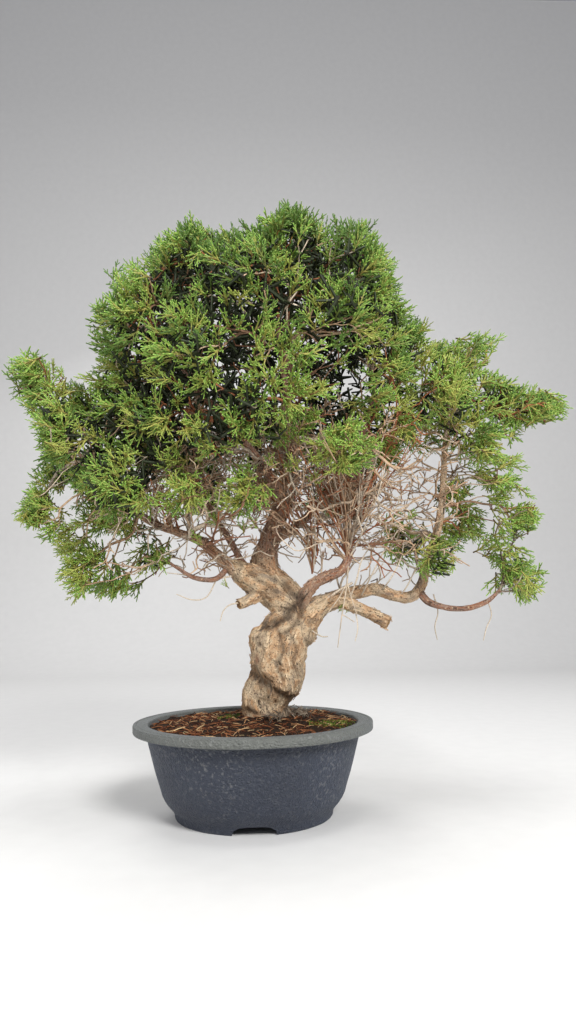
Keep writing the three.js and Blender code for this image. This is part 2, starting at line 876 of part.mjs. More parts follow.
function faceCentre(core, face) {
  const centre = new THREE.Vector3();
  face.forEach((index) => centre.add(core.corners[index]));
  return centre.divideScalar(3);
}

// The straight pieces of a planned spray in the whole tree's frame.
function sprayPieces({ root, stem, shoots }, pad) {
  const lines = stem.map((point, i) => [i === 0 ? root : stem[i - 1], point]);
  shoots.forEach(({ start, tip }) => lines.push([start, tip]));
  return lines.map(([start, end]) => ({
    owner: pad.name,
    start: start.clone().add(pad.centre),
    end: end.clone().add(pad.centre),
    radius: SHOOT_RADIUS,
  }));
}

function sprayIsClear(plan, pad, taken) {
  return sprayPieces(plan, pad).every((piece) =>
    taken.every(
      (other) =>
        other.owner === pad.name ||
        gapBetween(piece.start, piece.end, other.start, other.end) >
          piece.radius + other.radius + SHOOT_CLEARANCE,
    ),
  );
}

// Everything that shoots keep clear of: limbs as rows of short pieces, and the cores of the pads.
function takenSpace(limbs, pads) {
  const taken = [];
  for (const { route } of limbs) {
    const curve = new THREE.CatmullRomCurve3(
      route.map(([x, y, z]) => new THREE.Vector3(x, y, z)),
      false,
      "centripetal",
    );
    const parts = (route.length - 1) * PARTS_PER_STEP;
    for (let i = 0; i < parts; i += 1) {
      const before = route[Math.floor(i / PARTS_PER_STEP)];
      const after = route[Math.floor(i / PARTS_PER_STEP) + 1];
      taken.push({
        owner: "wood",
        start: curve.getPoint(i / parts),
        end: curve.getPoint((i + 1) / parts),
        radius: Math.max(before[3], after[3]),
      });
    }
  }
  for (const pad of pads) {
    const radius = pad.radius * CORE_WIDTH * (1 + CORE_LUMPS);
    taken.push({ owner: pad.name, start: pad.centre, end: pad.centre, radius });
  }
  return taken;
}

// The pads of sprays, each cut clear of the twigs that enter or pass it.
function foliageMeshes(pads, limbs) {
  const random = numberStream(FOLIAGE_SEED);
  const taken = takenSpace(limbs, pads);
  return pads.map((pad) => {
    const solid = padSolid(pad, taken, random);
    const near = limbs.filter(({ route }) => passesNear(route, pad));
    const cut = near.reduce((left, limb) => {
      const hole = solidOf(limbGeometry(limb, HOLE_GAP)).translate(pad.centre.clone().negate().toArray());
      return left.intersect(hole).volume() > 0 ? left.subtract(hole) : left;
    }, solid);
    const mesh = namedMesh(`foliage_${pad.name}`, largestBody(cut), "foliage");
    mesh.position.copy(pad.centre);
    return mesh;
  });
}

function passesNear(route, pad) {
  const points = route.map(([x, y, z]) => new THREE.Vector3(x, y, z));
  return points
    .slice(1)
    .some((point, i) => gapBetween(points[i], point, pad.centre, pad.centre) < pad.radius * NEAR_PAD);
}

// The whole object

function bonsai() {
  const pads = padPlaces();
  const roots = rootLimbs();
  const { limbs, twigs } = fedLimbs(pads);
  const grown = Object.values(limbs);
  const joined = (list, grow) =>
    list.map((limb) => solidOf(limbGeometry(limb, grow))).reduce((whole, limb) => whole.add(limb));
  const wood = joined([...grown, ...roots, ...twigs], 0);
  const inSoil = joined([LIMBS.root_left, LIMBS.trunk, ...roots], HOLE_GAP);

  const whole = new THREE.Group();
  const container = new THREE.Group();
  container.add(namedMesh("pot", potSolid(), "pot"));
  const mesh = namedMesh("drainage_mesh", meshSolid(), "mesh");
  mesh.position.z = FLOOR_TOP + TOUCH_GAP + MESH_THICKNESS / 2;
  container.add(mesh);
  container.add(namedMesh("soil", largestBody(soilSolid(inSoil)), "soil"));
  whole.add(container);

  const tree = new THREE.Group();
  tree.add(namedMesh("wood", wood, "wood"));
  foliageMeshes(pads, [...grown, ...twigs]).forEach((pad) => tree.add(pad));
  whole.add(tree);

  const box = new THREE.Box3().setFromObject(whole);
  whole.position.x = -Math.round((box.min.x + box.max.x) / 2);
  whole.position.y = -Math.round((box.min.y + box.max.y) / 2);
  return whole;
}

export default bonsai();
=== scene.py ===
"""Kishu juniper bonsai in a round training pot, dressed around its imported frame.

Lengths in routes and sizes are millimetres unless a name says otherwise, and are turned to metres
where a mesh is made. Routes are set out from the pot's axis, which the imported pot's box gives.
"""

import json
import logging
import math
from collections.abc import Sequence
from dataclasses import dataclass, field
from enum import Enum

import bmesh
import bpy
import numpy as np
from mathutils import Matrix, Vector, noise

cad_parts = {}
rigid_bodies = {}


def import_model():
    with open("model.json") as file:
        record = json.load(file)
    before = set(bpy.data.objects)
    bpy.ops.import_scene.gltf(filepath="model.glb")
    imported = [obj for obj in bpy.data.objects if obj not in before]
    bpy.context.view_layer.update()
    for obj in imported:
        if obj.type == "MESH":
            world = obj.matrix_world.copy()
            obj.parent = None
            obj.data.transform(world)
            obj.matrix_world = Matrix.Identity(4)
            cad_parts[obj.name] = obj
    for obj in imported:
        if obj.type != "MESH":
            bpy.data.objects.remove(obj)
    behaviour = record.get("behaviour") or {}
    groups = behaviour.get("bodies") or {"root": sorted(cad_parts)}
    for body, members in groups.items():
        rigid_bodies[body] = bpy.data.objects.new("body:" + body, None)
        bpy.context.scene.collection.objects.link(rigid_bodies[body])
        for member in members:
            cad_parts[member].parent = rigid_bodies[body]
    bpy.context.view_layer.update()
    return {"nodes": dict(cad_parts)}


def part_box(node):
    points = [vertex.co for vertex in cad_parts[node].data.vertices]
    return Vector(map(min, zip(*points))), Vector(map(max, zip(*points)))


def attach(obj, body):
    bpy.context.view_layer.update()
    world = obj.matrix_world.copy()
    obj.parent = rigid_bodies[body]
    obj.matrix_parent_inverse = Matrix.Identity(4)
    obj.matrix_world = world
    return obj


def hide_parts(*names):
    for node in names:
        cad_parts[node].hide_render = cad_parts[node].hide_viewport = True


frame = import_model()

MM = 0.001
BODY = "root"
SEED = 20
GOLDEN_ANGLE = math.pi * (3 - math.sqrt(5))
CHART = "OFBake"
LEAST_RADIUS = 0.4
SMALL = 1e-6
TINY = 1e-9
log = logging.getLogger("bonsai")

Triple = tuple[float, float, float]
Colour = tuple[float, float, float]
Stops = Sequence[tuple[float, Colour]]
Shell = tuple[np.ndarray, list]
Socket = bpy.types.NodeSocket
Node = bpy.types.Node
Tree = bpy.types.NodeTree
Value = Socket | float | int | bool | str | tuple | list
Object = bpy.types.Object
Mesh = bpy.types.Mesh
Material = bpy.types.Material
Random = np.random.Generator


class Slot(Enum):
    """Material slots of the record."""

    POT = "pot"
    MESH = "mesh"
    SOIL = "soil"
    WOOD = "wood"
    FOLIAGE = "foliage"
def rgb(red: int, green: int, blue: int) -> Colour:
    """Turns a screen colour of 0 to 255 into the linear colour that shaders use.

    Args:
        red: Red part.
        green: Green part.
        blue: Blue part.

    Returns:
        The linear colour.
    """
    parts = [part / 255 for part in (red, green, blue)]
    return tuple(p / 12.92 if p <= 0.04045 else ((p + 0.055) / 1.055) ** 2.4 for p in parts)
def pot_axis() -> np.ndarray:
    """Returns the pot's axis at the surface it stands on, in millimetres."""
    low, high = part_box("pot")
    return np.array([(low.x + high.x) / 2, (low.y + high.y) / 2, 0.0]) / MM


AXIS = pot_axis()


class NodeTree:
    """A node tree that is being built, with a short call for each kind of node."""

    def __init__(self, tree: Tree) -> None:
        """Keeps the tree that nodes are added to."""
        self.tree = tree

    def node(self, kind: str, inputs: dict[int | str, Value] | None = None,
             **options: object) -> Node:
        """Adds a node, sets its properties, and links or sets its inputs.

        Args:
            kind: The node's type.
            inputs: Values or sockets by input name or number. A list of sockets is linked in turn.
            **options: The node's own properties.

        Returns:
            The node.
        """
        node = self.tree.nodes.new(kind)
        for name, option in options.items():
            setattr(node, name, option)
        for key, value in (inputs or {}).items():
            if isinstance(value, (list, Socket)):
                for source in value if isinstance(value, list) else [value]:
                    self.tree.links.new(source, node.inputs[key])
            else:
                node.inputs[key].default_value = value
        return node

    def add(self, kind: str, inputs: dict[int | str, Value] | None = None, out: int | str = 0,
            **options: object) -> Socket:
        """Adds a node and returns one of its outputs.

        Args:
            kind: The node's type.
            inputs: Values or sockets by input name or number.
            out: Which output to return.
            **options: The node's own properties.

        Returns:
            The output.
        """
        return self.node(kind, inputs, **options).outputs[out]

    def math(self, operation: str, first: Value, second: Value = 0.0, third: Value = 0.0) -> Socket:
        """Adds a Math node of numbers or sockets and returns its result."""
        return self.add("ShaderNodeMath", {0: first, 1: second, 2: third}, operation=operation)

    def times(self, first: Value, second: Value) -> Socket:
        """Multiplies two numbers and returns the product."""
        return self.math("MULTIPLY", first, second)

    def minus(self, first: Value, second: Value) -> Socket:
        """Subtracts the second number from the first and returns the difference."""
        return self.math("SUBTRACT", first, second)

    def plus(self, first: Value, second: Value) -> Socket:
        """Adds two numbers and returns the sum."""
        return self.math("ADD", first, second)

    def vector(self, operation: str, first: Value, second: Value) -> Socket:
        """Adds a Vector Math node of two vectors and returns its result."""
        return self.add("ShaderNodeVectorMath", {0: first, 1: second}, operation=operation)

    def scaled(self, vector: Value, scale: Value) -> Socket:
        """Scales a vector by a number and returns it."""
        return self.add("ShaderNodeVectorMath", {0: vector, "Scale": scale}, operation="SCALE")

    def combined(self, **parts: Value) -> Socket:
        """Makes a vector of its X, Y and Z parts, which are 0 where they aren't given."""
        return self.add("ShaderNodeCombineXYZ", parts)

    def part(self, vector: Socket, axis: str) -> Socket:
        """Returns the X, Y or Z part of a vector."""
        return self.add("ShaderNodeSeparateXYZ", {0: vector}, axis)

    def noise(self, place: Socket, scale: Value, detail: float, rough: Value = 0.5,
              out: int = 0) -> Socket:
        """Adds a noise texture.

        Args:
            place: Where it is read.
            scale: How fine it is, per metre.
            detail: How many finer layers it has.
            rough: How strong the finer layers are.
            out: 0 for its value, 1 for its three values.

        Returns:
            The noise.
        """
        inputs = {"Vector": place, "Scale": scale, "Detail": detail, "Roughness": rough}
        return self.add("ShaderNodeTexNoise", inputs, out)

    def remap(self, value: Socket, low: float = 0.0, high: float = 1.0, to_low: Value = 0.0,
              to_high: Value = 1.0, smooth: bool = False) -> Socket:
        """Maps one range of a value onto another and holds it inside.

        Args:
            value: The value.
            low: Where its range starts.
            high: Where its range ends.
            to_low: What its start becomes.
            to_high: What its end becomes.
            smooth: Whether it eases in and out.

        Returns:
            The new value.
        """
        inputs = {0: value, 1: low, 2: high, 3: to_low, 4: to_high}
        kind = "SMOOTHSTEP" if smooth else "LINEAR"
        return self.add("ShaderNodeMapRange", inputs, interpolation_type=kind)

    def step(self, value: Socket, low: float, high: float) -> Socket:
        """Adds a smooth step of a value from 0 at one place to 1 at another and returns it."""
        return self.remap(value, low, high, smooth=True)


def spelt(name: str) -> str:
    """Returns an argument's name as its input is called: low_scale is Low scale."""
    return name.replace("_", " ").capitalize()


class Group(NodeTree):
    """A node group with named inputs and outputs."""

    def __init__(self, name: str, kind: str) -> None:
        """Makes an empty group.

        Args:
            name: Name of the group.
            kind: GeometryNodeTree or ShaderNodeTree.
        """
        super().__init__(bpy.data.node_groups.new(name, kind))
        self.start = self.node("NodeGroupInput")
        self.end = self.node("NodeGroupOutput")

    def takes(self, name: str, kind: str, default: float | int | None = None) -> Socket:
        """Adds a named input.

        Args:
            name: Name of the input.
            kind: Socket type without its NodeSocket prefix.
            default: Value that it has when nothing sets it.

        Returns:
            The input's socket inside the group.
        """
        socket = self.tree.interface.new_socket(
            name=name, in_out="INPUT", socket_type=f"NodeSocket{kind}"
        )
        if default is not None:
            socket.default_value = default
        return self.start.outputs[name]

    def numbers(self, **defaults: float | int) -> list[Socket]:
        """Adds a named input for each number, such as Low scale for low_scale.

        Args:
            **defaults: The value that each has when nothing sets it.

        Returns:
            The inputs' sockets inside the group.
        """
        return [
            self.takes(spelt(name), "Int" if isinstance(value, int) else "Float", value)
            for name, value in defaults.items()
        ]

    def gives(self, name: str, kind: str, source: Socket) -> None:
        """Adds a named output.

        Args:
            name: Name of the output.
            kind: Socket type without its NodeSocket prefix.
            source: The socket inside the group that feeds it.
        """
        self.tree.interface.new_socket(
            name=name, in_out="OUTPUT", socket_type=f"NodeSocket{kind}"
        )
        self.tree.links.new(source, self.end.inputs[name])


class GeometryTree(Group):
    """A geometry tree, with the calls that the trees below share."""

    def __init__(self, name: str) -> None:
        """Makes an empty geometry tree."""
        super().__init__(name, "GeometryNodeTree")

    def named(self, name: str, kind: str = "FLOAT") -> Socket:
        """Returns a stored attribute."""
        return self.add("GeometryNodeInputNamedAttribute", {"Name": name}, data_type=kind)

    def store(self, shape: Socket, name: str, value: Value, kind: str = "FLOAT",
              domain: str = "POINT") -> Socket:
        """Stores a value under a name.

        Args:
            shape: The geometry.
            name: The attribute's name.
            value: The value.
            kind: The attribute's type.
            domain: What it is stored on.

        Returns:
            The geometry.
        """
        inputs = {"Geometry": shape, "Name": name, "Value": value}
        return self.add(
            "GeometryNodeStoreNamedAttribute", inputs, data_type=kind, domain=domain
        )

    def without(self, shape: Socket, *names: str) -> Socket:
        """Removes attributes.

        Args:
            shape: The geometry.
            *names: The attributes' names.

        Returns:
            The geometry.
        """
        for name in names:
            shape = self.add("GeometryNodeRemoveAttribute", {"Geometry": shape, "Name": name})
        return shape

    def moved(self, shape: Socket, offset: Socket) -> Socket:
        """Moves a geometry's points and returns it."""
        return self.add("GeometryNodeSetPosition", {"Geometry": shape, "Offset": offset})

    def scattered(self, ground: Socket, density: Socket, seed: Socket) -> tuple[Socket, Socket]:
        """Distributes points over a mesh.

        Args:
            ground: The mesh.
            density: Points per square metre.
            seed: The seed.

        Returns:
            The points and their rotations.
        """
        node = self.node(
            "GeometryNodeDistributePointsOnFaces",
            {"Mesh": ground, "Density": density, "Seed": seed},
        )
        return node.outputs["Points"], node.outputs["Rotation"]

    def random(self, low: float, high: float, seed: Value, index: Socket, step: int = 0) -> Socket:
        """Adds a random number for each point.

        Args:
            low: The least number.
            high: The greatest number.
            seed: The tree's own seed.
            index: The point's number.
            step: What the seed is raised by, so that draws differ.

        Returns:
            The number.
        """
        number = self.plus(seed, float(step)) if step else seed
        inputs = {2: low, 3: high, "ID": index, "Seed": number}
        return self.add("FunctionNodeRandomValue", inputs, 1, data_type="FLOAT")

    def random_vector(self, reach: Triple, seed: Socket, index: Socket,
                      low: Triple | None = None) -> Socket:
        """Adds a random vector for each point.

        Args:
            reach: The greatest vector.
            seed: The tree's own seed.
            index: The point's number.
            low: The least vector, or none for the greatest with its sign turned.

        Returns:
            The vector.
        """
        least = low or tuple(-side for side in reach)
        inputs = {0: least, 1: reach, "ID": index, "Seed": seed}
        return self.add("FunctionNodeRandomValue", inputs, data_type="FLOAT_VECTOR")

    def turned(self, rotation: Socket, by: Socket) -> Socket:
        """Turns a rotation by another in its own axes and returns it."""
        inputs = {"Rotation": rotation, "Rotate By": by}
        return self.add("FunctionNodeRotateRotation", inputs, rotation_space="LOCAL")

    def instanced(self, points: Socket, shape: Socket, turn: Socket, size: Socket,
                  **more: Value) -> Socket:
        """Puts copies of a shape on points as real geometry.

        Args:
            points: The points.
            shape: The shape, or several to pick from.
            turn: Rotation of each copy.
            size: Scale of each copy.
            **more: The node's other inputs, with _ for a space.

        Returns:
            The geometry.
        """
        inputs = {"Points": points, "Instance": shape, "Rotation": turn, "Scale": size}
        inputs.update({name.replace("_", " "): value for name, value in more.items()})
        placed = self.add("GeometryNodeInstanceOnPoints", inputs)
        return self.add("GeometryNodeRealizeInstances", {"Geometry": placed})

    def line(self, **ends: Socket) -> Socket:
        """Makes a straight curve between its Start and its End."""
        return self.add("GeometryNodeCurvePrimitiveLine", ends)

    def resampled(self, line: Socket, count: Value) -> Socket:
        """Gives a curve an even number of points and returns it."""
        return self.add("GeometryNodeResampleCurve", {"Curve": line, "Count": count})

    def thickened(self, line: Socket, radius: Socket) -> Socket:
        """Sets a curve's radius and returns it."""
        return self.add("GeometryNodeSetCurveRadius", {"Curve": line, "Radius": radius})

    def swept(self, line: Socket, sides: Value = 3) -> Socket:
        """Sweeps a ring along a curve at the curve's own radius.

        Args:
            line: The curve.
            sides: Corners of the ring.

        Returns:
            The closed mesh.
        """
        ring = self.add("GeometryNodeCurvePrimitiveCircle", {"Resolution": sides, "Radius": 1.0})
        node = self.node(
            "GeometryNodeCurveToMesh", {"Curve": line, "Profile Curve": ring, "Fill Caps": True}
        )
        if "Scale" in node.inputs:
            self.tree.links.new(self.add("GeometryNodeInputRadius"), node.inputs["Scale"])
        return node.outputs[0]

    def charted(self, shape: Socket) -> Socket:
        """Stores each corner's place along its twig and its tint as the UV map for the finish."""
        chart = self.combined(X=self.named("along"), Y=self.named("tint"))
        return self.store(shape, CHART, chart, "FLOAT2", "CORNER")

    def finished(self, shape: Socket, finish: Socket) -> None:
        """Makes instances real, sets the material and gives the geometry out.

        Args:
            shape: The geometry.
            finish: The material.
        """
        real = self.add("GeometryNodeRealizeInstances", {"Geometry": shape})
        inputs = {"Geometry": real, "Material": finish}
        self.gives("Geometry", "Geometry", self.add("GeometryNodeSetMaterial", inputs))


def linked(name: str, mesh: Mesh) -> Object:
    """Makes an object of a mesh and links it to the scene.

    Args:
        name: Name of the object.
        mesh: Its mesh.

    Returns:
        The object.
    """
    piece = bpy.data.objects.new(name, mesh)
    bpy.context.scene.collection.objects.link(piece)
    return piece


def mesh_of(name: str, corners: np.ndarray, faces: Sequence[Sequence[int]]) -> Mesh:
    """Makes a smooth mesh.

    Args:
        name: Name of the mesh.
        corners: Corner places in metres.
        faces: Corner numbers of each face.

    Returns:
        The mesh.
    """
    mesh = bpy.data.meshes.new(name)
    mesh.from_pydata(np.asarray(corners, float).tolist(), [], [list(map(int, f)) for f in faces])
    mesh.update()
    mesh.shade_smooth()
    return mesh


def give(mesh: Mesh, name: str, values: Sequence[float] | np.ndarray) -> None:
    """Stores a number or a vector for every corner of a mesh.

    Args:
        mesh: The mesh.
        name: Name of the attribute.
        values: One number or vector for each corner.
    """
    values = np.asarray(values, np.float32)
    kind, key = ("FLOAT_VECTOR", "vector") if values.ndim == 2 else ("FLOAT", "value")
    attribute = mesh.attributes.new(name, kind, "POINT")
    attribute.data.foreach_set(key, values.ravel())


def corners_of(mesh: Mesh) -> np.ndarray:
    """Reads a mesh's corner places.

    Args:
        mesh: The mesh.

    Returns:
        The places in metres.
    """
    places = np.zeros(len(mesh.vertices) * 3, np.float32)
    mesh.vertices.foreach_get("co", places)
    return places.reshape(-1, 3).astype(float)


def grown_by(piece: Object, tree: Group, values: dict[str, object], name: str) -> Object:
    """Runs a geometry tree on an object and keeps the result as a plain mesh.

    Args:
        piece: The object that the tree starts from. It is removed.
        tree: The geometry tree.
        values: The tree's inputs by name.
        name: Name of the new object.

    Returns:
        The new object.
    """
    modifier = piece.modifiers.new(name, "NODES")
    modifier.node_group = tree.tree
    sockets = tree.tree.interface.items_tree
    names = {item.name: item.identifier for item in sockets if item.in_out == "INPUT"}
    for key, value in values.items():
        modifier[names[key]] = value
    return plain(piece, name)


def plain(piece: Object, name: str) -> Object:
    """Turns an object with modifiers into a new object with a plain mesh.

    Args:
        piece: The object with modifiers. It is removed.
        name: Name of the new object.

    Returns:
        The new object.
    """
    bpy.context.view_layer.update()
    graph = bpy.context.evaluated_depsgraph_get()
    mesh = bpy.data.meshes.new_from_object(
        piece.evaluated_get(graph), preserve_all_data_layers=True, depsgraph=graph
    )
    bpy.data.objects.remove(piece)
    mesh.name = name
    return linked(name, mesh)
def settle(piece: Object, slot: Slot, *nodes: str) -> Object:
    """Makes a finished piece ride with the part and hides the CAD nodes that it stands for.

    Args:
        piece: The finished piece.
        slot: The record's material slot. It is not used.
        *nodes: CAD nodes that the piece replaces.

    Returns:
        The piece.
    """
    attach(piece, BODY)
    if nodes:
        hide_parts(*nodes)
    log.info("%s: %d faces", piece.name, len(piece.data.polygons))
    return piece


# Finishes

def opaque(value: Socket | float | Colour) -> Socket | float | tuple[float, ...]:
    """Returns a colour with its alpha, and anything else as it is."""
    return (*value, 1) if isinstance(value, tuple) else value


class Surface(NodeTree):
    """A material that is being built around its Principled shader."""

    def __init__(self, name: str) -> None:
        """Makes the material with its shader.

        Args:
            name: Name of the material.
        """
        self.material = bpy.data.materials.new(name)
        self.material.use_nodes = True
        super().__init__(self.material.node_tree)
        self.tree.nodes.clear()
        self.shader = self.node("ShaderNodeBsdfPrincipled")
        self.node("ShaderNodeOutputMaterial", {0: self.shader.outputs[0]})

    def feed(self, name: str, value: Socket | float | Colour) -> None:
        """Links or sets one of the shader's inputs.

        Args:
            name: The input's name.
            value: A socket, a number or a colour.
        """
        if isinstance(value, Socket):
            self.tree.links.new(value, self.shader.inputs[name])
        else:
            self.shader.inputs[name].default_value = opaque(value)

    def place(self) -> Socket:
        """Returns Object coordinates."""
        return self.add("ShaderNodeTexCoord", None, "Object")

    def chart(self) -> Socket:
        """Returns the UV map: place along the twig and tint."""
        return self.add("ShaderNodeUVMap", uv_map=CHART)

    def attribute(self, name: str, out: str = "Fac") -> Socket:
        """Returns an attribute of the mesh."""
        return self.add("ShaderNodeAttribute", None, out, attribute_name=name)

    def mix(self, factor: Value, first: Socket | Colour, second: Socket | Colour,
            blend: str = "MIX") -> Socket:
        """Mixes two colours.

        Args:
            factor: The second colour's share.
            first: The first colour.
            second: The second colour.
            blend: How they blend.

        Returns:
            The mixed colour.
        """
        inputs = {0: factor, 6: opaque(first), 7: opaque(second)}
        return self.add("ShaderNodeMix", inputs, 2, data_type="RGBA", blend_type=blend)

    def ramp(self, factor: Socket, stops: Stops) -> Socket:
        """Adds a colour ramp.

        Args:
            factor: What drives the ramp.
            stops: Place and linear colour of each stop.

        Returns:
            The colour.
        """
        node = self.node("ShaderNodeValToRGB", {0: factor})
        elements = node.color_ramp.elements
        while len(elements) < len(stops):
            elements.new(1.0)
        for element, (place, tone) in zip(elements, stops):
            element.position = place
            element.color = (*tone, 1.0)
        return node.outputs[0]

    def shaded(self, colour: Socket, value: Socket, span: tuple[float, float],
               light: tuple[float, float]) -> Socket:
        """Multiplies a colour by a brightness.

        Args:
            colour: The colour.
            value: What drives the brightness.
            span: The value's range.
            light: The brightness at the ends of that range.

        Returns:
            The colour.
        """
        shade = self.remap(value, *span, *light)
        grey = self.add("ShaderNodeCombineColor", {0: shade, 1: shade, 2: shade})
        return self.mix(1.0, colour, grey, "MULTIPLY")

    def bump(self, height: Socket, distance: float, strength: float = 1.0) -> None:
        """Feeds a height to the shader's normal."""
        inputs = {"Height": height, "Distance": distance, "Strength": strength}
        self.feed("Normal", self.add("ShaderNodeBump", inputs, "Normal"))


@dataclass(frozen=True)
class Finish:
    """What every finish has: a name, a roughness and how it is built."""

    name: str
    roughness: float

    def material(self) -> Material:
        """Builds the material.

        Returns:
            The material.
        """
        surface = Surface(self.name)
        surface.feed("Roughness", self.roughness)
        self.dress(surface)
        return surface.material

    def dress(self, surface: Surface) -> None:
        """Adds the finish's own nodes to the material.

        Args:
            surface: The material that is being built.
        """
        raise NotImplementedError


def dust_group() -> Group:
    """Makes the shader group for dust: soft patches broken up by fine grains.

    Returns:
        The group, with Vector, Patch scale, Grain scale and Amount in, and Mask out.
    """
    group = Group("dust", "ShaderNodeTree")
    place = group.takes("Vector", "Vector")
    patch, grain, amount = group.numbers(patch_scale=20.0, grain_scale=900.0, amount=0.5)
    wide = group.step(group.noise(place, patch, detail=4.0), 0.45, 0.7)
    sharp = group.step(group.noise(place, grain, detail=2.0), 0.5, 0.72)
    both = group.times(group.plus(wide, 0.25), sharp)
    group.gives("Mask", "Float", group.times(both, amount))
    return group


def grain_group() -> Group:
    """Makes the shader group for a fine grain: a height from cells and clouds.

    Returns:
        The group, with Vector, Scale and Roughness in, and Height out.
    """
    group = Group("fine grain", "ShaderNodeTree")
    place = group.takes("Vector", "Vector")
    scale, rough = group.numbers(scale=700.0, roughness=0.5)
    inputs = {"Vector": place, "Scale": scale}
    cells = group.add("ShaderNodeTexVoronoi", inputs, "Distance", feature="DISTANCE_TO_EDGE")
    clouds = group.noise(place, group.times(scale, 0.6), detail=4.0, rough=rough)
    group.gives("Height", "Float", group.plus(group.times(cells, 0.8), clouds))
    return group


DUST = dust_group()
GRAIN = grain_group()


@dataclass(frozen=True)
class BarkFinish(Finish):
    """Old fibrous bark: pale flakes, grey weathering, dark cracks and pits, redder when young, with
    painted highlights on its ridges and painted shade in its crevices, creases and hollows.
    """

    pale: Colour = rgb(226, 202, 168)
    fibre: Colour = rgb(190, 155, 117)
    ochre: Colour = rgb(190, 138, 92)
    grey: Colour = rgb(134, 122, 110)
    brown: Colour = rgb(112, 84, 62)
    crack: Colour = rgb(50, 38, 30)
    red: Colour = rgb(160, 108, 80)
    plum: Colour = rgb(158, 134, 120)
    cut: Colour = rgb(186, 146, 102)
    # Colour of the painted shade in the creases and the stubs' hollows.
    painted_shade: Colour = rgb(56, 45, 38)

    def dress(self, surface: Surface) -> None:
        """Adds the bark's colours from its relief, its age and its grain, with painted highlights
        on high relief and painted shade in low relief, creases and hollows.

        Args:
            surface: The material that is being built.
        """
        grain, place = surface.attribute("grain", "Vector"), surface.place()
        names = ("relief", "young", "rust", "sawn", "painted_shade")
        relief, young, rust, sawn, painted_shade = (surface.attribute(name) for name in names)
        streak = surface.noise(grain, scale=760.0, detail=6.0, rough=0.65)
        patch = surface.noise(place, scale=62.0, detail=4.0)
        weather = surface.noise(grain, scale=150.0, detail=4.0)
        fibres = surface.ramp(streak, [
            (0.3, self.brown), (0.42, self.fibre), (0.55, self.pale), (0.68, self.fibre),
            (0.8, self.grey),
        ])
        patches = surface.ramp(patch, [
            (0.34, self.grey), (0.47, self.pale), (0.56, self.ochre), (0.68, self.brown),
        ])
        old = surface.mix(0.5, fibres, patches)
        old = surface.mix(surface.step(weather, 0.52, 0.72), old, self.grey)
        new = surface.mix(surface.step(streak, 0.38, 0.62), self.red, self.plum)
        skin = surface.mix(surface.step(young, 0.0, 1.0), old, new)
        skin = surface.mix(rust, skin, self.red)
        # Painted highlight: where the relief is raised, the colour is lightened towards pale.
        painted_highlight = surface.mix(surface.step(relief, 0.8, 1.05), skin, self.pale)
        skin = surface.mix(0.3, skin, painted_highlight)
        skin = surface.mix(sawn, skin, self.cut)
        # Painted shade in the crevices: the low relief darkens towards the crack colour, partly the
        # cracks' own darker bark.
        skin = surface.mix(surface.step(relief, 0.6, 0.16), skin, self.crack)
        specks = surface.step(surface.noise(place, scale=620.0, detail=3.0), 0.57, 0.66)
        skin = surface.mix(surface.times(specks, 0.8), skin, self.crack)
        flecks = surface.step(surface.noise(place, scale=480.0, detail=2.0), 0.6, 0.68)
        skin = surface.mix(surface.times(flecks, 0.6), skin, self.pale)
        # Painted shade in the creases and the stubs' hollows, broken up by the streaks.
        broken = surface.math("MULTIPLY_ADD", streak, 0.6, 0.55)
        skin = surface.mix(surface.times(painted_shade, broken), skin, self.painted_shade)
        surface.feed("Base Color", skin)
        surface.feed("Roughness", surface.remap(streak, to_low=0.72, to_high=0.95))
        surface.feed("Specular IOR Level", 0.25)
        surface.bump(surface.noise(grain, scale=900.0, detail=8.0, rough=0.7), distance=0.0024)


@dataclass(frozen=True)
class TwigFinish(Finish):
    """Twig skin, from dead grey through tan to orange-red, by the tint that each twig carries."""

    stops: Stops = (
        (0.0, rgb(136, 120, 106)), (0.2, rgb(216, 200, 178)), (0.45, rgb(202, 170, 138)),
        (0.65, rgb(138, 100, 78)), (0.85, rgb(166, 106, 74)), (1.0, rgb(188, 116, 76)),
    )
    stretch: Triple = (26.0, 60.0, 1.0)

    def dress(self, surface: Surface) -> None:
        """Adds the tint ramp and the streaks along each twig.

        Args:
            surface: The material that is being built.
        """
        chart = surface.chart()
        tint = surface.ramp(surface.part(chart, "Y"), self.stops)
        along = surface.add("ShaderNodeMapping", {0: chart, 3: self.stretch})
        streak = surface.noise(along, scale=1.0, detail=3.0)
        surface.feed("Base Color", surface.shaded(tint, streak, (0.3, 0.7), (0.62, 1.2)))
        surface.feed("Specular IOR Level", 0.25)


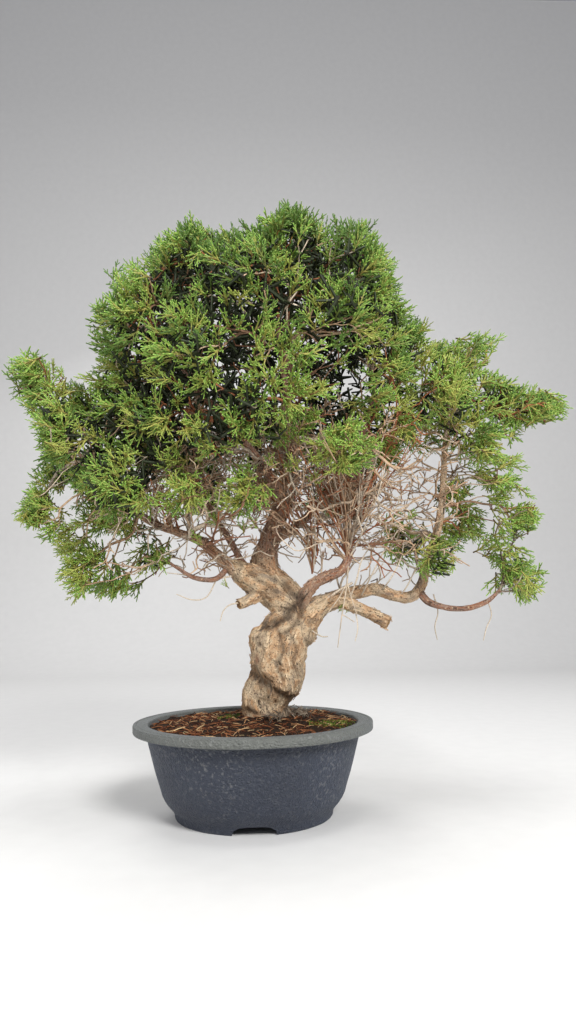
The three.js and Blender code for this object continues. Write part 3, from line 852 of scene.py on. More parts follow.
@dataclass(frozen=True)
class ShootFinish(Finish):
    """Scale-leaf shoots: brown to olive stems that turn to bright green at the tips; the dark stem
    bases and the deep green are partly painted shade, and the near-black nest is painted shade.
    """

    # Along each shoot: the dark brown at the base is partly the old stem's colour, partly painted
    # shade deep in the spray.
    stops: Stops = (
        (0.0, rgb(84, 64, 38)), (0.1, rgb(120, 102, 52)), (0.24, rgb(172, 166, 86)),
        (0.5, rgb(156, 172, 84)), (0.78, rgb(108, 158, 58)), (1.0, rgb(178, 208, 102)),
    )
    # Deep green for low tints: partly the sprays' own darker tone, partly painted shade.
    deep: Colour = rgb(54, 90, 36)
    olive: Colour = rgb(186, 178, 92)
    # Near-black colours of the inner nest of old shoots: painted shade.
    painted_shade_nest: Stops = ((0.0, rgb(44, 32, 24)), (0.4, rgb(34, 38, 22)), (1.0, rgb(50, 60, 34)))
    bare: Stops = ((0.0, rgb(140, 108, 82)), (0.5, rgb(186, 164, 138)), (1.0, rgb(186, 134, 98)))
    painted_shade_below: float = 0.05
    bare_above: float = 0.95
    scales: float = 70.0

    def dress(self, surface: Surface) -> None:
        """Adds the colours along each shoot, the tint of each spray, the painted shade of the deep
        tints and the nest, and the scales.

        Args:
            surface: The material that is being built.
        """
        chart = surface.chart()
        along, tint = surface.part(chart, "X"), surface.part(chart, "Y")
        skin = surface.ramp(along, self.stops)
        # Low tints turn to deep green: partly the sprays' own tone, partly painted shade.
        skin = surface.mix(surface.times(surface.step(tint, 0.45, 0.1), 0.7), skin, self.deep)
        skin = surface.mix(surface.times(surface.step(tint, 0.55, 0.9), 0.5), skin, self.olive)
        # Shoots with the lowest tint are the inner nest, coloured near black as painted shade.
        inner = surface.math("LESS_THAN", tint, self.painted_shade_below)
        skin = surface.mix(inner, skin, surface.ramp(along, self.painted_shade_nest))
        leafless = surface.math("GREATER_THAN", tint, self.bare_above)
        skin = surface.mix(leafless, skin, surface.ramp(along, self.bare))
        wave = surface.math("SINE", surface.times(along, self.scales))
        surface.feed("Base Color", surface.shaded(skin, wave, (-1.0, 1.0), (0.86, 1.06)))
        surface.feed("Specular IOR Level", 0.35)


@dataclass(frozen=True)
class PotFinish(Finish):
    """Moulded slate plastic with a leathery grain, dust on it and a greyer, worn rim."""

    body: Colour = rgb(53, 58, 70)
    shade: Colour = rgb(46, 50, 61)
    dust: Colour = rgb(150, 150, 148)
    rim: Colour = rgb(103, 105, 100)
    haze: Colour = rgb(150, 165, 190)
    rim_height: float = 81.0
    rim_fade: float = 5.0

    def dress(self, surface: Surface) -> None:
        """Adds the grain, the dust and the worn rim.

        Args:
            surface: The material that is being built.
        """
        place = surface.place()
        patch = surface.noise(place, scale=14.0, detail=5.0)
        skin = surface.ramp(patch, [(0.35, self.shade), (0.62, self.body)])
        height = surface.math("MULTIPLY_ADD", patch, 0.006, surface.part(place, "Z"))
        rim = surface.step(height, self.rim_height * MM, (self.rim_height + self.rim_fade) * MM)
        skin = surface.mix(rim, skin, self.rim)
        inputs = {"Vector": place, "Patch scale": 16.0, "Grain scale": 300.0, "Amount": 0.3}
        specks = surface.add("ShaderNodeGroup", inputs, "Mask", node_tree=DUST.tree)
        surface.feed("Base Color", surface.mix(specks, skin, self.dust))
        surface.feed("Roughness", surface.remap(patch, to_low=0.42, to_high=0.68))
        surface.feed("Specular IOR Level", 0.4)
        surface.feed("Sheen Weight", 0.14)
        surface.feed("Sheen Tint", self.haze)
        inputs = {"Vector": place, "Scale": 360.0, "Roughness": 0.6}
        grain = surface.add("ShaderNodeGroup", inputs, "Height", node_tree=GRAIN.tree)
        surface.bump(grain, distance=0.003, strength=0.9)


@dataclass(frozen=True)
class TintFinish(Finish):
    """Loose bits whose colour is picked from a ramp by the tint that each carries."""

    stops: Stops

    def dress(self, surface: Surface) -> None:
        """Adds the ramp over each bit's own tint.

        Args:
            surface: The material that is being built.
        """
        colour = surface.ramp(surface.attribute("tint"), self.stops)
        cloud = surface.noise(surface.place(), scale=600.0, detail=3.0)
        surface.feed("Base Color", surface.shaded(colour, cloud, (0.3, 0.7), (0.7, 1.25)))
        surface.feed("Specular IOR Level", 0.2)


@dataclass(frozen=True)
class SoilFinish(Finish):
    """Dark damp soil with lighter crumbs."""

    dark: Colour = rgb(24, 18, 14)
    light: Colour = rgb(66, 48, 34)

    def dress(self, surface: Surface) -> None:
        """Adds the crumbs.

        Args:
            surface: The material that is being built.
        """
        crumb = surface.noise(surface.place(), scale=420.0, detail=6.0)
        surface.feed("Base Color", surface.ramp(crumb, [(0.4, self.dark), (0.7, self.light)]))
        surface.feed("Specular IOR Level", 0.15)
        surface.bump(crumb, distance=0.002)


@dataclass(frozen=True)
class PlainFinish(Finish):
    """A calm matt surface with a faint mottle: the floor, the backdrop and the drainage mesh."""

    colour: Colour

    def dress(self, surface: Surface) -> None:
        """Adds the faint mottle.

        Args:
            surface: The material that is being built.
        """
        cloud = surface.noise(surface.place(), scale=40.0, detail=3.0)
        low = tuple(part * 0.97 for part in self.colour)
        surface.feed("Base Color", surface.ramp(cloud, [(0.3, low), (0.7, self.colour)]))
        surface.feed("Specular IOR Level", 0.3)


# Lines and tubes that the wood is made of

@dataclass(frozen=True)
class Limb:
    """A limb: its name, how deep its flutes are, and its route of x, y, z and radius in mm."""

    name: str
    fluting: float
    route: Sequence[tuple[float, float, float, float]]


@dataclass
class Line:
    """A limb's line at even steps: places, radii and a frame that doesn't twist, in mm."""

    places: np.ndarray
    radii: np.ndarray

    def __post_init__(self) -> None:
        """Works out the frame and the distance along the line."""
        ahead = np.gradient(self.places, axis=0)
        self.ahead = ahead / np.linalg.norm(ahead, axis=1, keepdims=True)
        side = np.cross(self.ahead[0], (0.31, 1.0, 0.2))
        sides = []
        for way in self.ahead:
            side = side - way * side.dot(way)
            side = side / np.linalg.norm(side)
            sides.append(side)
        self.side = np.array(sides)
        self.up = np.cross(self.ahead, self.side)
        steps = np.linalg.norm(np.diff(self.places, axis=0), axis=1)
        self.along = np.concatenate([[0.0], np.cumsum(steps)])

def smooth_line(limb: Limb, spacing: float) -> Line:
    """Runs a smooth line through a limb's points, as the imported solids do.

    Args:
        limb: The limb.
        spacing: Length of a step in mm.

    Returns:
        The line.
    """
    route = np.array(limb.route, float)
    knots = np.vstack([2 * route[0] - route[1], route, 2 * route[-1] - route[-2]])
    rows = []
    for first in range(len(route) - 1):
        p0, p1, p2, p3 = knots[first:first + 4]
        pairs = ((p0, p1), (p1, p2), (p2, p3))
        gaps = [max(np.linalg.norm((b - a)[:3]) ** 0.5, SMALL) for a, b in pairs]
        t1 = gaps[0]
        t2 = t1 + gaps[1]
        t3 = t2 + gaps[2]
        count = max(2, math.ceil(np.linalg.norm((p2 - p1)[:3]) / spacing))
        last = 1 if first == len(route) - 2 else 0
        for step in range(count + last):
            t = t1 + (t2 - t1) * step / count
            a1 = p0 * (t1 - t) / t1 + p1 * t / t1
            a2 = p1 * (t2 - t) / (t2 - t1) + p2 * (t - t1) / (t2 - t1)
            a3 = p2 * (t3 - t) / (t3 - t2) + p3 * (t - t2) / (t3 - t2)
            b1 = a1 * (t2 - t) / t2 + a2 * t / t2
            b2 = a2 * (t3 - t) / (t3 - t1) + a3 * (t - t1) / (t3 - t1)
            rows.append(b1 * (t2 - t) / (t2 - t1) + b2 * (t - t1) / (t2 - t1))
    rows = np.array(rows)
    return Line(rows[:, :3], np.maximum(rows[:, 3], LEAST_RADIUS))

def tube(line: Line, sides: int, fluting: float = 0.0) -> Shell:
    """Makes a closed tube with rounded ends about a line.

    Args:
        line: The line.
        sides: Corners of each ring.
        fluting: Depth of its three flutes as a share of the radius.

    Returns:
        Corners in mm and faces.
    """
    angles = np.arange(sides) * 2 * math.pi / sides
    last = len(line.places) - 1
    rings = [(0, -math.sin(turn), math.cos(turn)) for turn in (1.3, 0.7)]
    rings += [(at, 0.0, 1.0) for at in range(last + 1)]
    rings += [(last, math.sin(turn), math.cos(turn)) for turn in (0.7, 1.3)]
    corners = []
    for at, push, share in rings:
        radius = line.radii[at]
        girth = radius * share * (1 + fluting * np.cos(3 * angles + 0.025 * line.along[at]))
        centre = line.places[at] + line.ahead[at] * push * radius
        across = np.outer(np.cos(angles) * girth, line.side[at])
        corners.append(centre + across + np.outer(np.sin(angles) * girth, line.up[at]))
    corners = np.vstack(corners)
    faces = []
    for ring in range(len(rings) - 1):
        for k in range(sides):
            a, b = ring * sides + k, ring * sides + (k + 1) % sides
            faces.append([a, b, b + sides, a + sides])
    faces.append(list(range(sides))[::-1])
    faces.append(list(range(len(corners) - sides, len(corners))))
    return corners, faces


def ball(centre: Triple, reach: Triple, turns: int = 3) -> Shell:
    """Makes a closed ball squashed to three radii.

    Args:
        centre: Its centre in mm.
        reach: Its three radii in mm.
        turns: How often its faces are divided.

    Returns:
        Corners in mm and faces.
    """
    shape = bmesh.new()
    bmesh.ops.create_icosphere(shape, subdivisions=turns, radius=1.0)
    corners = np.array([v.co[:] for v in shape.verts]) * np.array(reach) + np.array(centre)
    faces = [[v.index for v in f.verts] for f in shape.faces]
    shape.free()
    return corners, faces


def joined(shells: Sequence[Shell]) -> Shell:
    """Joins shells of corners and faces into one.

    Args:
        shells: The shells.

    Returns:
        The one shell.
    """
    corners, faces, start = [], [], 0
    for places, sides in shells:
        corners.append(places)
        faces += [[start + k for k in face] for face in sides]
        start += len(places)
    return np.vstack(corners), faces


LIMBS = [
    Limb("root_left", 0.06, [
        (2, 2, 78, 13), (5, 2, 93, 15.5), (3, 0, 112, 14.5), (8, -2, 127, 14.5), (16, -2, 141, 14),
    ]),
    Limb("trunk", 0.07, [
        (17, 6, 62, 17), (17, 6, 86, 19), (18, 5, 108, 18), (25, 1, 130, 26), (23, 0, 150, 27),
        (30, 3, 170, 28), (44, 6, 190, 20), (40, 7, 206, 19), (23, 10, 222, 20), (13, 13, 240, 17),
        (17.5, 16, 269, 11.5), (26, 16, 294, 10), (38, 14, 318, 8.5),
    ]),
    Limb("shoulder", 0.05, [
        (46, 4, 198, 16), (28, 4, 213, 17), (6, 3, 228, 16.5), (-10, 0, 238, 12), (-22, -5, 246, 7),
    ]),
    Limb("leader_top", 0, [
        (35, 15, 310, 6.8), (44, 10, 355, 6.8), (34, 4, 398, 6), (42, 0, 442, 5.2),
        (37, 4, 495, 4.4),
        (46, 0, 552, 3.2), (44, 0, 590, 2.4),
    ]),
    Limb("right_limb", 0.04, [
        (48, 3, 178, 20), (58, 0, 192, 14.5), (70, -4, 203, 11), (86, -8, 208, 8.5),
    ]),
    Limb("right_stub", 0.04, [
        (83, -7, 210, 7.5), (101, -14, 203, 6.6), (117, -20, 195, 6.3), (134, -26, 186, 6.8),
    ]),
    Limb("right_long_limb", 0.03, [
        (68, 0, 203, 9), (92, 8, 213, 7.9), (117, 12, 218, 7), (132, 14, 220, 7), (152, 14, 213, 6),
        (169, 12, 212, 5.8), (179, 10, 223, 5.4), (186, 8, 247, 4.9), (196, 6, 273, 4.6),
        (205, 6, 310, 4.2), (208, 5, 340, 3.8), (212, 4, 381, 3.2), (222, 4, 420, 2.6),
    ]),
    Limb("right_low_limb", 0, [
        (176, 11, 218, 4.6), (186, 6, 206, 3.8), (206, 0, 199, 3.2), (226, -4, 199, 2.8),
        (244, -6, 205, 2.4), (258, -8, 216, 2),
    ]),
    Limb("middle_branch", 0.03, [
        (48, -4, 202, 8), (55, -10, 216, 7), (65, -14, 227, 6.2), (78, -16, 233, 5.8),
        (91, -18, 239, 5.2), (98, -18, 250, 4.6), (101, -18, 264, 3.2), (108, -24, 290, 2.2),
        (116, -36, 328, 1.6), (122, -46, 366, 1.2),
    ]),
    Limb("left_limb", 0.03, [
        (10, 10, 225, 10), (-9, 2, 232, 7.6), (-23, -6, 244, 6.7), (-39, -12, 259, 6),
        (-56, -16, 272, 5.1), (-78, -18, 280, 4.5), (-103, -20, 290, 4), (-130, -20, 311, 3.4),
        (-158, -18, 338, 2.8), (-186, -16, 372, 2.2),
    ]),
    Limb("red_branch", 0, [
        (-4, 12, 238, 5.6), (-14, 20, 256, 4), (-26, 28, 278, 3.6), (-40, 38, 301, 3.2),
        (-54, 50, 330, 2.8), (-70, 62, 366, 2.3), (-82, 70, 404, 1.8),
    ]),
    Limb("left_stub", 0.04, [
        (20, 4, 218, 8), (3, -6, 213, 6), (-13, -14, 206, 5.6),
    ]),
    Limb("left_low_limb", 0, [
        (-24, -7, 245, 3.6), (-38, -12, 232, 2.8), (-58, -14, 233, 2.4), (-76, -12, 243, 2),
        (-92, -6, 254, 1.6),
    ]),
    Limb("right_upper_limb", 0, [
        (20, 16, 274, 8), (48, 20, 290, 5), (76, 26, 318, 4.4), (104, 34, 356, 3.8),
        (128, 38, 402, 3.2),
        (142, 34, 450, 2.4),
    ]),
    Limb("left_upper_limb", 0, [
        (32, 12, 322, 7), (10, 0, 356, 4.4), (-18, -12, 388, 3.9), (-50, -20, 424, 3.4),
        (-84, -22, 466, 2.8), (-104, -20, 512, 2.2),
    ]),
    Limb("back_limb", 0, [
        (36, 16, 312, 7), (38, 44, 336, 4.4), (34, 68, 372, 3.8), (30, 82, 420, 3.2),
        (28, 88, 470, 2.4),
    ]),
    Limb("front_limb", 0, [
        (42, 8, 344, 6.4), (44, -18, 364, 4.2), (40, -44, 394, 3.7), (32, -66, 432, 3.2),
        (26, -80, 480, 2.4),
    ]),
]


@dataclass(frozen=True)
class Lump:
    """A swelling that is joined to the wood: its centre and its three radii in mm."""

    centre: tuple[float, float, float]
    reach: tuple[float, float, float]


@dataclass(frozen=True)
class Knot:
    """Rings of grain about a healed or broken shoot: place, reach, height and number of rings."""

    centre: tuple[float, float, float]
    reach: float
    height: float
    rings: float


LUMPS = [
    Lump((10, -3, 170), (14, 17, 14)),
    Lump((37, -1, 131), (15, 16, 11)),
    Lump((41, -5, 146), (11, 13, 10)),
    Lump((129, 9, 222), (6.5, 6.5, 6)),
    Lump((-2, -5, 112), (8, 8, 14)),
    Lump((50, -4, 203), (9, 8, 7)),
    Lump((22, -3, 93), (15, 13, 9)),
    Lump((14, 20, 93), (14, 12, 12)),
    Lump((134, -26, 186), (6.5, 7.5, 7.5)),
]
KNOTS = [
    Knot((4.9, -22, 175.8), 11, 1.6, 2.5),
    Knot((21.5, -24, 142.4), 13, 1.4, 3),
    Knot((42.6, -18, 137.6), 9, 1.5, 2),
    Knot((51.6, -16, 180), 6, 1.2, 1.5),
    Knot((59.9, -14, 182.8), 6, 1.2, 1.5),
    Knot((15.6, -10, 211.8), 8, 1.4, 2),
    Knot((-0.7, -10, 228.4), 6, 1.2, 1.5),
    Knot((25, -8, 223), 6, 1.2, 1.5),
    Knot((40, 24, 150), 12, 1.4, 3),
    Knot((10, 24, 200), 9, 1.3, 2),
    Knot((2, 22, 150), 10, 1.3, 2),
]


@dataclass(frozen=True)
class Crease:
    """A crease in the front of the wood: [x, z] points, width and depth in mm, and how much painted
    shade it gets.
    """

    points: Sequence[tuple[float, float]]
    width: float
    depth: float
    # How much painted shade the crease gets.
    painted_shade: float

    def distance(self, places: np.ndarray) -> np.ndarray:
        """Measures how far each place is from the crease, as seen from the front.

        Args:
            places: The places in mm.

        Returns:
            The distances.
        """
        flat = places[:, (0, 2)]
        points = np.array(self.points, float)
        gaps = []
        for first, last in zip(points[:-1], points[1:]):
            run = last - first
            share = np.clip((flat - first) @ run / (run @ run), 0, 1)
            gaps.append(np.linalg.norm(flat - first - share[:, None] * run, axis=1))
        return np.min(gaps, axis=0)


@dataclass(frozen=True)
class Cut:
    """The end of a stub: a place on its face, the way it faces, its raggedness and its hollow."""

    centre: Triple
    way: Triple
    ragged: float
    hollow: float
    reach: float = 14.0
    pith: float = 4.5
    grain: float = 2.2
    kept: float = 0.06

    def carve(self, places: np.ndarray) -> tuple[np.ndarray, np.ndarray]:
        """Cuts the stub off at its face, with a rough surface and a hollow in the middle.

        Args:
            places: The wood's corners in mm, which are moved.

        Returns:
            Which corners are on the face, and how hollow each of those is.
        """
        way = np.array(self.way)
        away = places - self.centre
        out = away @ way
        across = np.linalg.norm(away - out[:, None] * way, axis=1)
        beyond = (out > 0) & (across < self.reach) & (out < self.reach)
        rough = np.array([noise.noise(Vector(place) / self.grain) for place in places[beyond]])
        hollow = np.clip(1 - across[beyond] / self.pith, 0, 1)
        drop = out[beyond] * (1 - self.kept) + rough * self.ragged + self.hollow * hollow
        places[beyond] -= drop[:, None] * way
        return beyond, hollow


# Each crease is pressed into the wood and darkened with painted shade.
CREASES = [
    Crease([(-8, 141), (8, 127), (21, 119), (36, 111), (48, 108)], 4.5, 3.4, 0.75),
    Crease([(12, 184), (21, 186), (32, 191), (40, 199), (49, 210)], 5.0, 2.8, 1.0),
    Crease([(23, 186), (28, 170), (31, 158), (24, 146), (30, 131)], 2.6, 1.8, 0.7),
    Crease([(-1, 143), (8, 135), (18, 127)], 3.0, 1.8, 0.5),
    Crease([(48, 197), (45, 187), (37, 179), (28, 175)], 2.6, 1.8, 0.8),
    Crease([(38, 176), (44, 160), (40, 148), (46, 132)], 2.2, 1.4, 0.6),
    Crease([(2, 170), (10, 160), (8, 150)], 2.2, 1.4, 0.5),
    Crease([(18, 86), (32, 98), (40, 106)], 7.0, 0.8, 0.8),
    Crease([(-6, 100), (4, 96), (8, 84)], 3.0, 1.6, 0.6),
    Crease([(-2, 238), (12, 226), (24, 218)], 3.0, 1.6, 0.6),
    Crease([(34, 226), (44, 214), (49, 204)], 5.0, 1.2, 0.9),
]
CUTS = [
    Cut((136.0, -26.8, 184.8), (0.845, -0.3, -0.45), 0.6, 1.5),
    Cut((-14.5, -14.8, 205.4), (-0.83, -0.42, -0.36), 1.8, 4.5),
]


class Bark(GeometryTree):
    """The tree that raises lumps, plates, fibres, cracks and pits, and records their relief."""

    def __init__(self) -> None:
        """Builds the tree."""
        super().__init__("bark")
        shape = self.takes("Geometry", "Geometry")
        depth, lump_depth, swirl, fibre_scale, crack_scale, pit_scale, pit_depth = self.numbers(
            depth=0.0021, lump_depth=0.0034, swirl=0.006, fibre_scale=330.0, crack_scale=120.0,
            pit_scale=170.0, pit_depth=0.6,
        )
        finish = self.takes("Material", "Material")
        girth, place = self.named("girth"), self.add("GeometryNodeInputPosition")
        cloud = self.noise(place, 42.0, 2.0, out=1)
        cloud = self.vector("SUBTRACT", cloud, (0.5, 0.5, 0.5))
        grain = self.vector("ADD", self.named("grain", "FLOAT_VECTOR"), self.scaled(cloud, swirl))
        ridge = self.valley(self.noise(grain, fibre_scale, 4.0), 0.11)
        crack = self.valley(self.noise(grain, crack_scale, 3.0), 0.055)
        split = self.valley(self.noise(grain, self.times(crack_scale, 0.45), 2.0), 0.03)
        plate = self.remap(self.noise(grain, 160.0, 2.0), 0.3, 0.68)
        inputs = {"Vector": grain, "Scale": pit_scale}
        cells = self.add("ShaderNodeTexVoronoi", inputs, "Distance")
        rare = self.remap(self.noise(place, 38.0, 1.0), 0.5, 0.58)
        pit = self.times(self.remap(cells, 0.26, 0.06), rare)
        relief = self.times(ridge, 0.2)
        for part, share in ((plate, 0.25), (crack, 0.35), (split, 0.2)):
            relief = self.plus(relief, self.times(part, share))
        relief = self.minus(relief, self.times(pit, self.times(pit_depth, 0.6)))
        size = self.remap(girth, 0.002, 0.016, 0.22, 1.0)
        lumps = self.minus(self.noise(place, 60.0, 2.0), 0.5)
        lumps = self.times(lumps, self.times(lump_depth, 2.0))
        push = self.plus(self.times(self.minus(relief, 0.8), depth), lumps)
        offset = self.scaled(self.add("GeometryNodeInputNormal"), self.times(push, size))
        kept = self.store(shape, "relief", relief)
        kept = self.store(kept, "grain", grain, "FLOAT_VECTOR")
        self.finished(self.moved(kept, offset), finish)

    def valley(self, value: Socket, width: float) -> Socket:
        """Turns a noise into narrow valleys where it crosses its middle, 0 there and 1 beside."""
        return self.step(self.math("ABSOLUTE", self.minus(value, 0.5)), 0.0, width)


class Flakes(GeometryTree):
    """The tree that strews thin lifted strips of bark over the thick wood, along its grain."""

    def __init__(self) -> None:
        """Builds the tree."""
        super().__init__("flakes")
        wood = self.takes("Geometry", "Geometry")
        density, length, width, thickness, curl, least, seed = self.numbers(
            density=16000.0, length=0.0085, width=0.0017, thickness=0.0004, curl=0.3,
            least_girth=0.0048, seed=5,
        )
        finish = self.takes("Material", "Material")
        thick = self.math("GREATER_THAN", self.named("girth"), least)
        points, turn = self.scattered(wood, self.times(density, thick), seed)
        inputs = {"Size": self.combined(X=length, Y=width, Z=thickness), "Vertices X": 3}
        strip = self.add("GeometryNodeMeshCube", inputs)
        across = self.part(self.add("GeometryNodeInputPosition"), "X")
        square = self.math("DIVIDE", self.times(across, across), length)
        strip = self.moved(strip, self.combined(Z=self.times(square, curl)))
        inputs = {"Rotation": turn, "Vector": self.named("ahead", "FLOAT_VECTOR")}
        turn = self.add("FunctionNodeAlignRotationToVector", inputs, axis="X", pivot_axis="Z")
        index = self.add("GeometryNodeInputIndex")
        lean = self.random_vector((0.2, 0.16, 0.3), seed, index)
        turn = self.turned(turn, self.add("FunctionNodeEulerToRotation", {0: lean}))
        flakes = self.instanced(points, strip, turn, self.random(0.45, 1.2, seed, index, 2))
        self.finished(self.without(flakes, "ahead", "girth"), finish)


@dataclass
class Wood:
    """Trunk, limbs and stubs: the thick wood is fused by a voxel remesh, and all is barked."""

    limbs: Sequence[Limb] = field(default_factory=lambda: LIMBS)
    lumps: Sequence[Lump] = field(default_factory=lambda: LUMPS)
    knots: Sequence[Knot] = field(default_factory=lambda: KNOTS)
    creases: Sequence[Crease] = field(default_factory=lambda: CREASES)
    cuts: Sequence[Cut] = field(default_factory=lambda: CUTS)
    fused: Sequence[str] = (
        "root_left", "trunk", "shoulder", "right_limb", "right_stub", "left_stub", "middle_branch",
        "left_limb", "right_long_limb",
    )
    fresh: dict[str, float] = field(default_factory=lambda: {
        "right_stub": 0.15, "right_limb": 0.1, "right_long_limb": 0.3, "left_stub": 0.1,
        "left_limb": 0.75, "shoulder": 0.2,
    })
    step: float = 2.0
    voxel: float = 1.4
    stout: float = 12.0
    stout_sides: int = 36
    fused_sides: int = 18
    slim_sides: int = 10
    twist: float = 0.014
    stretch: float = 0.2
    apart: float = 37.0
    upper: tuple[float, float] = (222.0, 270.0)
    upper_young: float = 0.8
    young_girth: tuple[float, float] = (12.0, 8.0)
    rust_spot: Triple = (2.7, -20, 150.2)
    rust_reach: float = 5.0
    rust: float = 0.7
    # Painted shade in the hollow of a stub's cut face.
    hollow_painted_shade: float = 0.9
    at_once: int = 4000

    def lines(self) -> list[Line]:
        """Returns the line of every limb."""
        return [smooth_line(limb, self.step) for limb in self.limbs]

    def build(self, finish: Material) -> Object:
        """Makes the wood and its flakes.

        Args:
            finish: The bark's material.

        Returns:
            The wood's piece.
        """
        lines = self.lines()
        thick = [ball(lump.centre, lump.reach) for lump in self.lumps]
        slim = []
        for limb, line in zip(self.limbs, lines):
            if limb.name in self.fused:
                stout = line.radii.max() > self.stout
                sides = self.stout_sides if stout else self.fused_sides
                thick.append(tube(line, sides, limb.fluting))
            else:
                slim.append(tube(line, self.slim_sides, limb.fluting))
        whole = joined([self.fuse(joined(thick)), *slim])
        piece = linked("wood_whole", mesh_of("wood_whole", (whole[0] + AXIS) * MM, whole[1]))
        self.mark(piece.data, lines)
        piece = grown_by(piece, Bark(), {"Material": finish}, "wood_bark")
        piece.data.shade_smooth()
        ground = linked("flake_ground", piece.data.copy())
        flakes = grown_by(ground, Flakes(), {"Material": finish}, "bark_flakes")
        settle(flakes, Slot.WOOD)
        return settle(piece, Slot.WOOD, "wood")

    def fuse(self, shell: Shell) -> Shell:
        """Fuses crossing tubes and balls into one skin.

        Args:
            shell: Their corners and faces.

        Returns:
            The skin's corners in mm and faces.
        """
        corners, faces = shell
        piece = linked("wood_rough", mesh_of("wood_rough", (corners + AXIS) * MM, faces))
        remesh = piece.modifiers.new("fuse", "REMESH")
        remesh.mode = "VOXEL"
        remesh.voxel_size = self.voxel * MM
        smooth = piece.modifiers.new("soften", "SMOOTH")
        smooth.factor = 0.5
        smooth.iterations = 3
        piece = plain(piece, "wood_fused")
        skin = (
            corners_of(piece.data) / MM - AXIS,
            [list(face.vertices) for face in piece.data.polygons],
        )
        bpy.data.objects.remove(piece)
        return skin

    def mark(self, mesh: Mesh, lines: Sequence[Line]) -> None:
        """Stores the grain, the girth and the age of the wood at each corner, and shapes its face.

        Args:
            mesh: The fused wood.
            lines: The limbs' lines.
        """
        places = corners_of(mesh) / MM - AXIS
        owner = np.concatenate([np.full(len(line.places), k) for k, line in enumerate(lines)])
        rows = np.vstack([
            np.column_stack([line.places, line.radii, line.along, line.ahead, line.side, line.up])
            for line in lines
        ])
        nearest = self.nearest(places, rows)
        row, owner = rows[nearest], owner[nearest]
        girth, along = row[:, 3], row[:, 4]
        ahead, side, up = row[:, 5:8], row[:, 8:11], row[:, 11:14]
        away = places - row[:, :3]
        angle = np.arctan2((away * up).sum(1), (away * side).sum(1)) + self.twist * along
        across = np.cos(angle) * girth + owner * self.apart
        grain = np.column_stack([across, np.sin(angle) * girth, along * self.stretch])
        give(mesh, "grain", grain * MM)
        give(mesh, "girth", girth * MM)
        names = [limb.name for limb in self.limbs]
        fresh = np.array([self.fresh.get(name, 1.0) for name in names])[owner]
        low, high = self.upper
        risen = np.clip((places[:, 2] - low) / (high - low), 0, 1)
        leader = (owner == names.index("trunk")) * risen
        most, span = self.young_girth
        young = np.clip((most - girth) / span, 0, 1) * fresh
        give(mesh, "young", np.maximum(young, leader * self.upper_young))
        far = np.linalg.norm(places - self.rust_spot, axis=1) / self.rust_reach
        give(mesh, "rust", np.exp(-(far ** 2)) * self.rust)
        give(mesh, "ahead", ahead)
        self.shape(mesh, places)

    def nearest(self, places: np.ndarray, rows: np.ndarray) -> np.ndarray:
        """Finds the step of the limbs that each place lies on.

        Args:
            places: The places in mm.
            rows: Every step, as its place, its radius and more.

        Returns:
            The number of each place's row.
        """
        nearest = np.zeros(len(places), int)
        for first in range(0, len(places), self.at_once):
            part = places[first:first + self.at_once]
            gap = np.linalg.norm(part[:, None, :] - rows[None, :, :3], axis=2) - rows[None, :, 3]
            nearest[first:first + self.at_once] = gap.argmin(axis=1)
        return nearest

    def shape(self, mesh: Mesh, places: np.ndarray) -> None:
        """Raises the knots, presses the creases in, cuts the stubs and stores the painted shade and
        what is sawn.

        Args:
            mesh: The wood.
            places: Its corners in mm.
        """
        normals = np.zeros(len(places) * 3, np.float32)
        mesh.vertex_normals.foreach_get("vector", normals)
        normals = normals.reshape(-1, 3).astype(float)
        for knot in self.knots:
            far = np.linalg.norm(places - knot.centre, axis=1) / knot.reach
            fade = np.clip(1 - far, 0, 1) ** 0.7
            wave = np.cos(far * knot.rings * 2 * math.pi)
            places = places + normals * (fade * wave * knot.height)[:, None]
        painted_shade, sawn = np.zeros(len(places)), np.zeros(len(places))
        # The creases and the stubs' hollows get painted shade.
        for crease in self.creases:
            near = np.exp(-((crease.distance(places) / crease.width) ** 2)) * (normals[:, 1] < 0.1)
            painted_shade = np.maximum(painted_shade, near * crease.painted_shade)
            places = places - normals * (near * crease.depth)[:, None]
        for cut in self.cuts:
            face, hollow = cut.carve(places)
            sawn[face] = 1.0
            painted_shade[face] = hollow * self.hollow_painted_shade
        give(mesh, "painted_shade", painted_shade)
        give(mesh, "sawn", sawn)
        mesh.vertices.foreach_set("co", ((places + AXIS) * MM).ravel().astype(np.float32))
        mesh.update()


# Foliage

class StemTree(GeometryTree):
    """A geometry tree for a shoot or an axis, which starts as a line along Z."""

    def stem(self, line: Socket, girth: Socket, taper: Value, low: Value, high: Value) -> Socket:
        """Gives a line its girth and the place along its twig.

        Args:
            line: The line.
            girth: Its radius at the start.
            taper: What it loses of that to its end, as a share.
            low: The place along the twig at its start.
            high: That place at its end.

        Returns:
            The line.
        """
        factor = self.add("GeometryNodeSplineParameter")
        girths = self.times(girth, self.minus(1.0, self.times(factor, taper)))
        along = self.remap(factor, to_low=low, to_high=high)
        return self.store(self.thickened(line, girths), "along", along)


class Shoot(StemTree):
    """The tree for one cord-like shoot: a blunt three-sided cord that is closed at both ends."""

    def __init__(self) -> None:
        """Builds the tree."""
        super().__init__("shoot")
        length, girth, taper = self.numbers(length=0.0062, girth=0.00098, taper=0.3)
        line = self.stem(self.line(End=self.combined(Z=length)), girth, taper, 0.5, 1.0)
        self.gives("Geometry", "Geometry", self.swept(line))


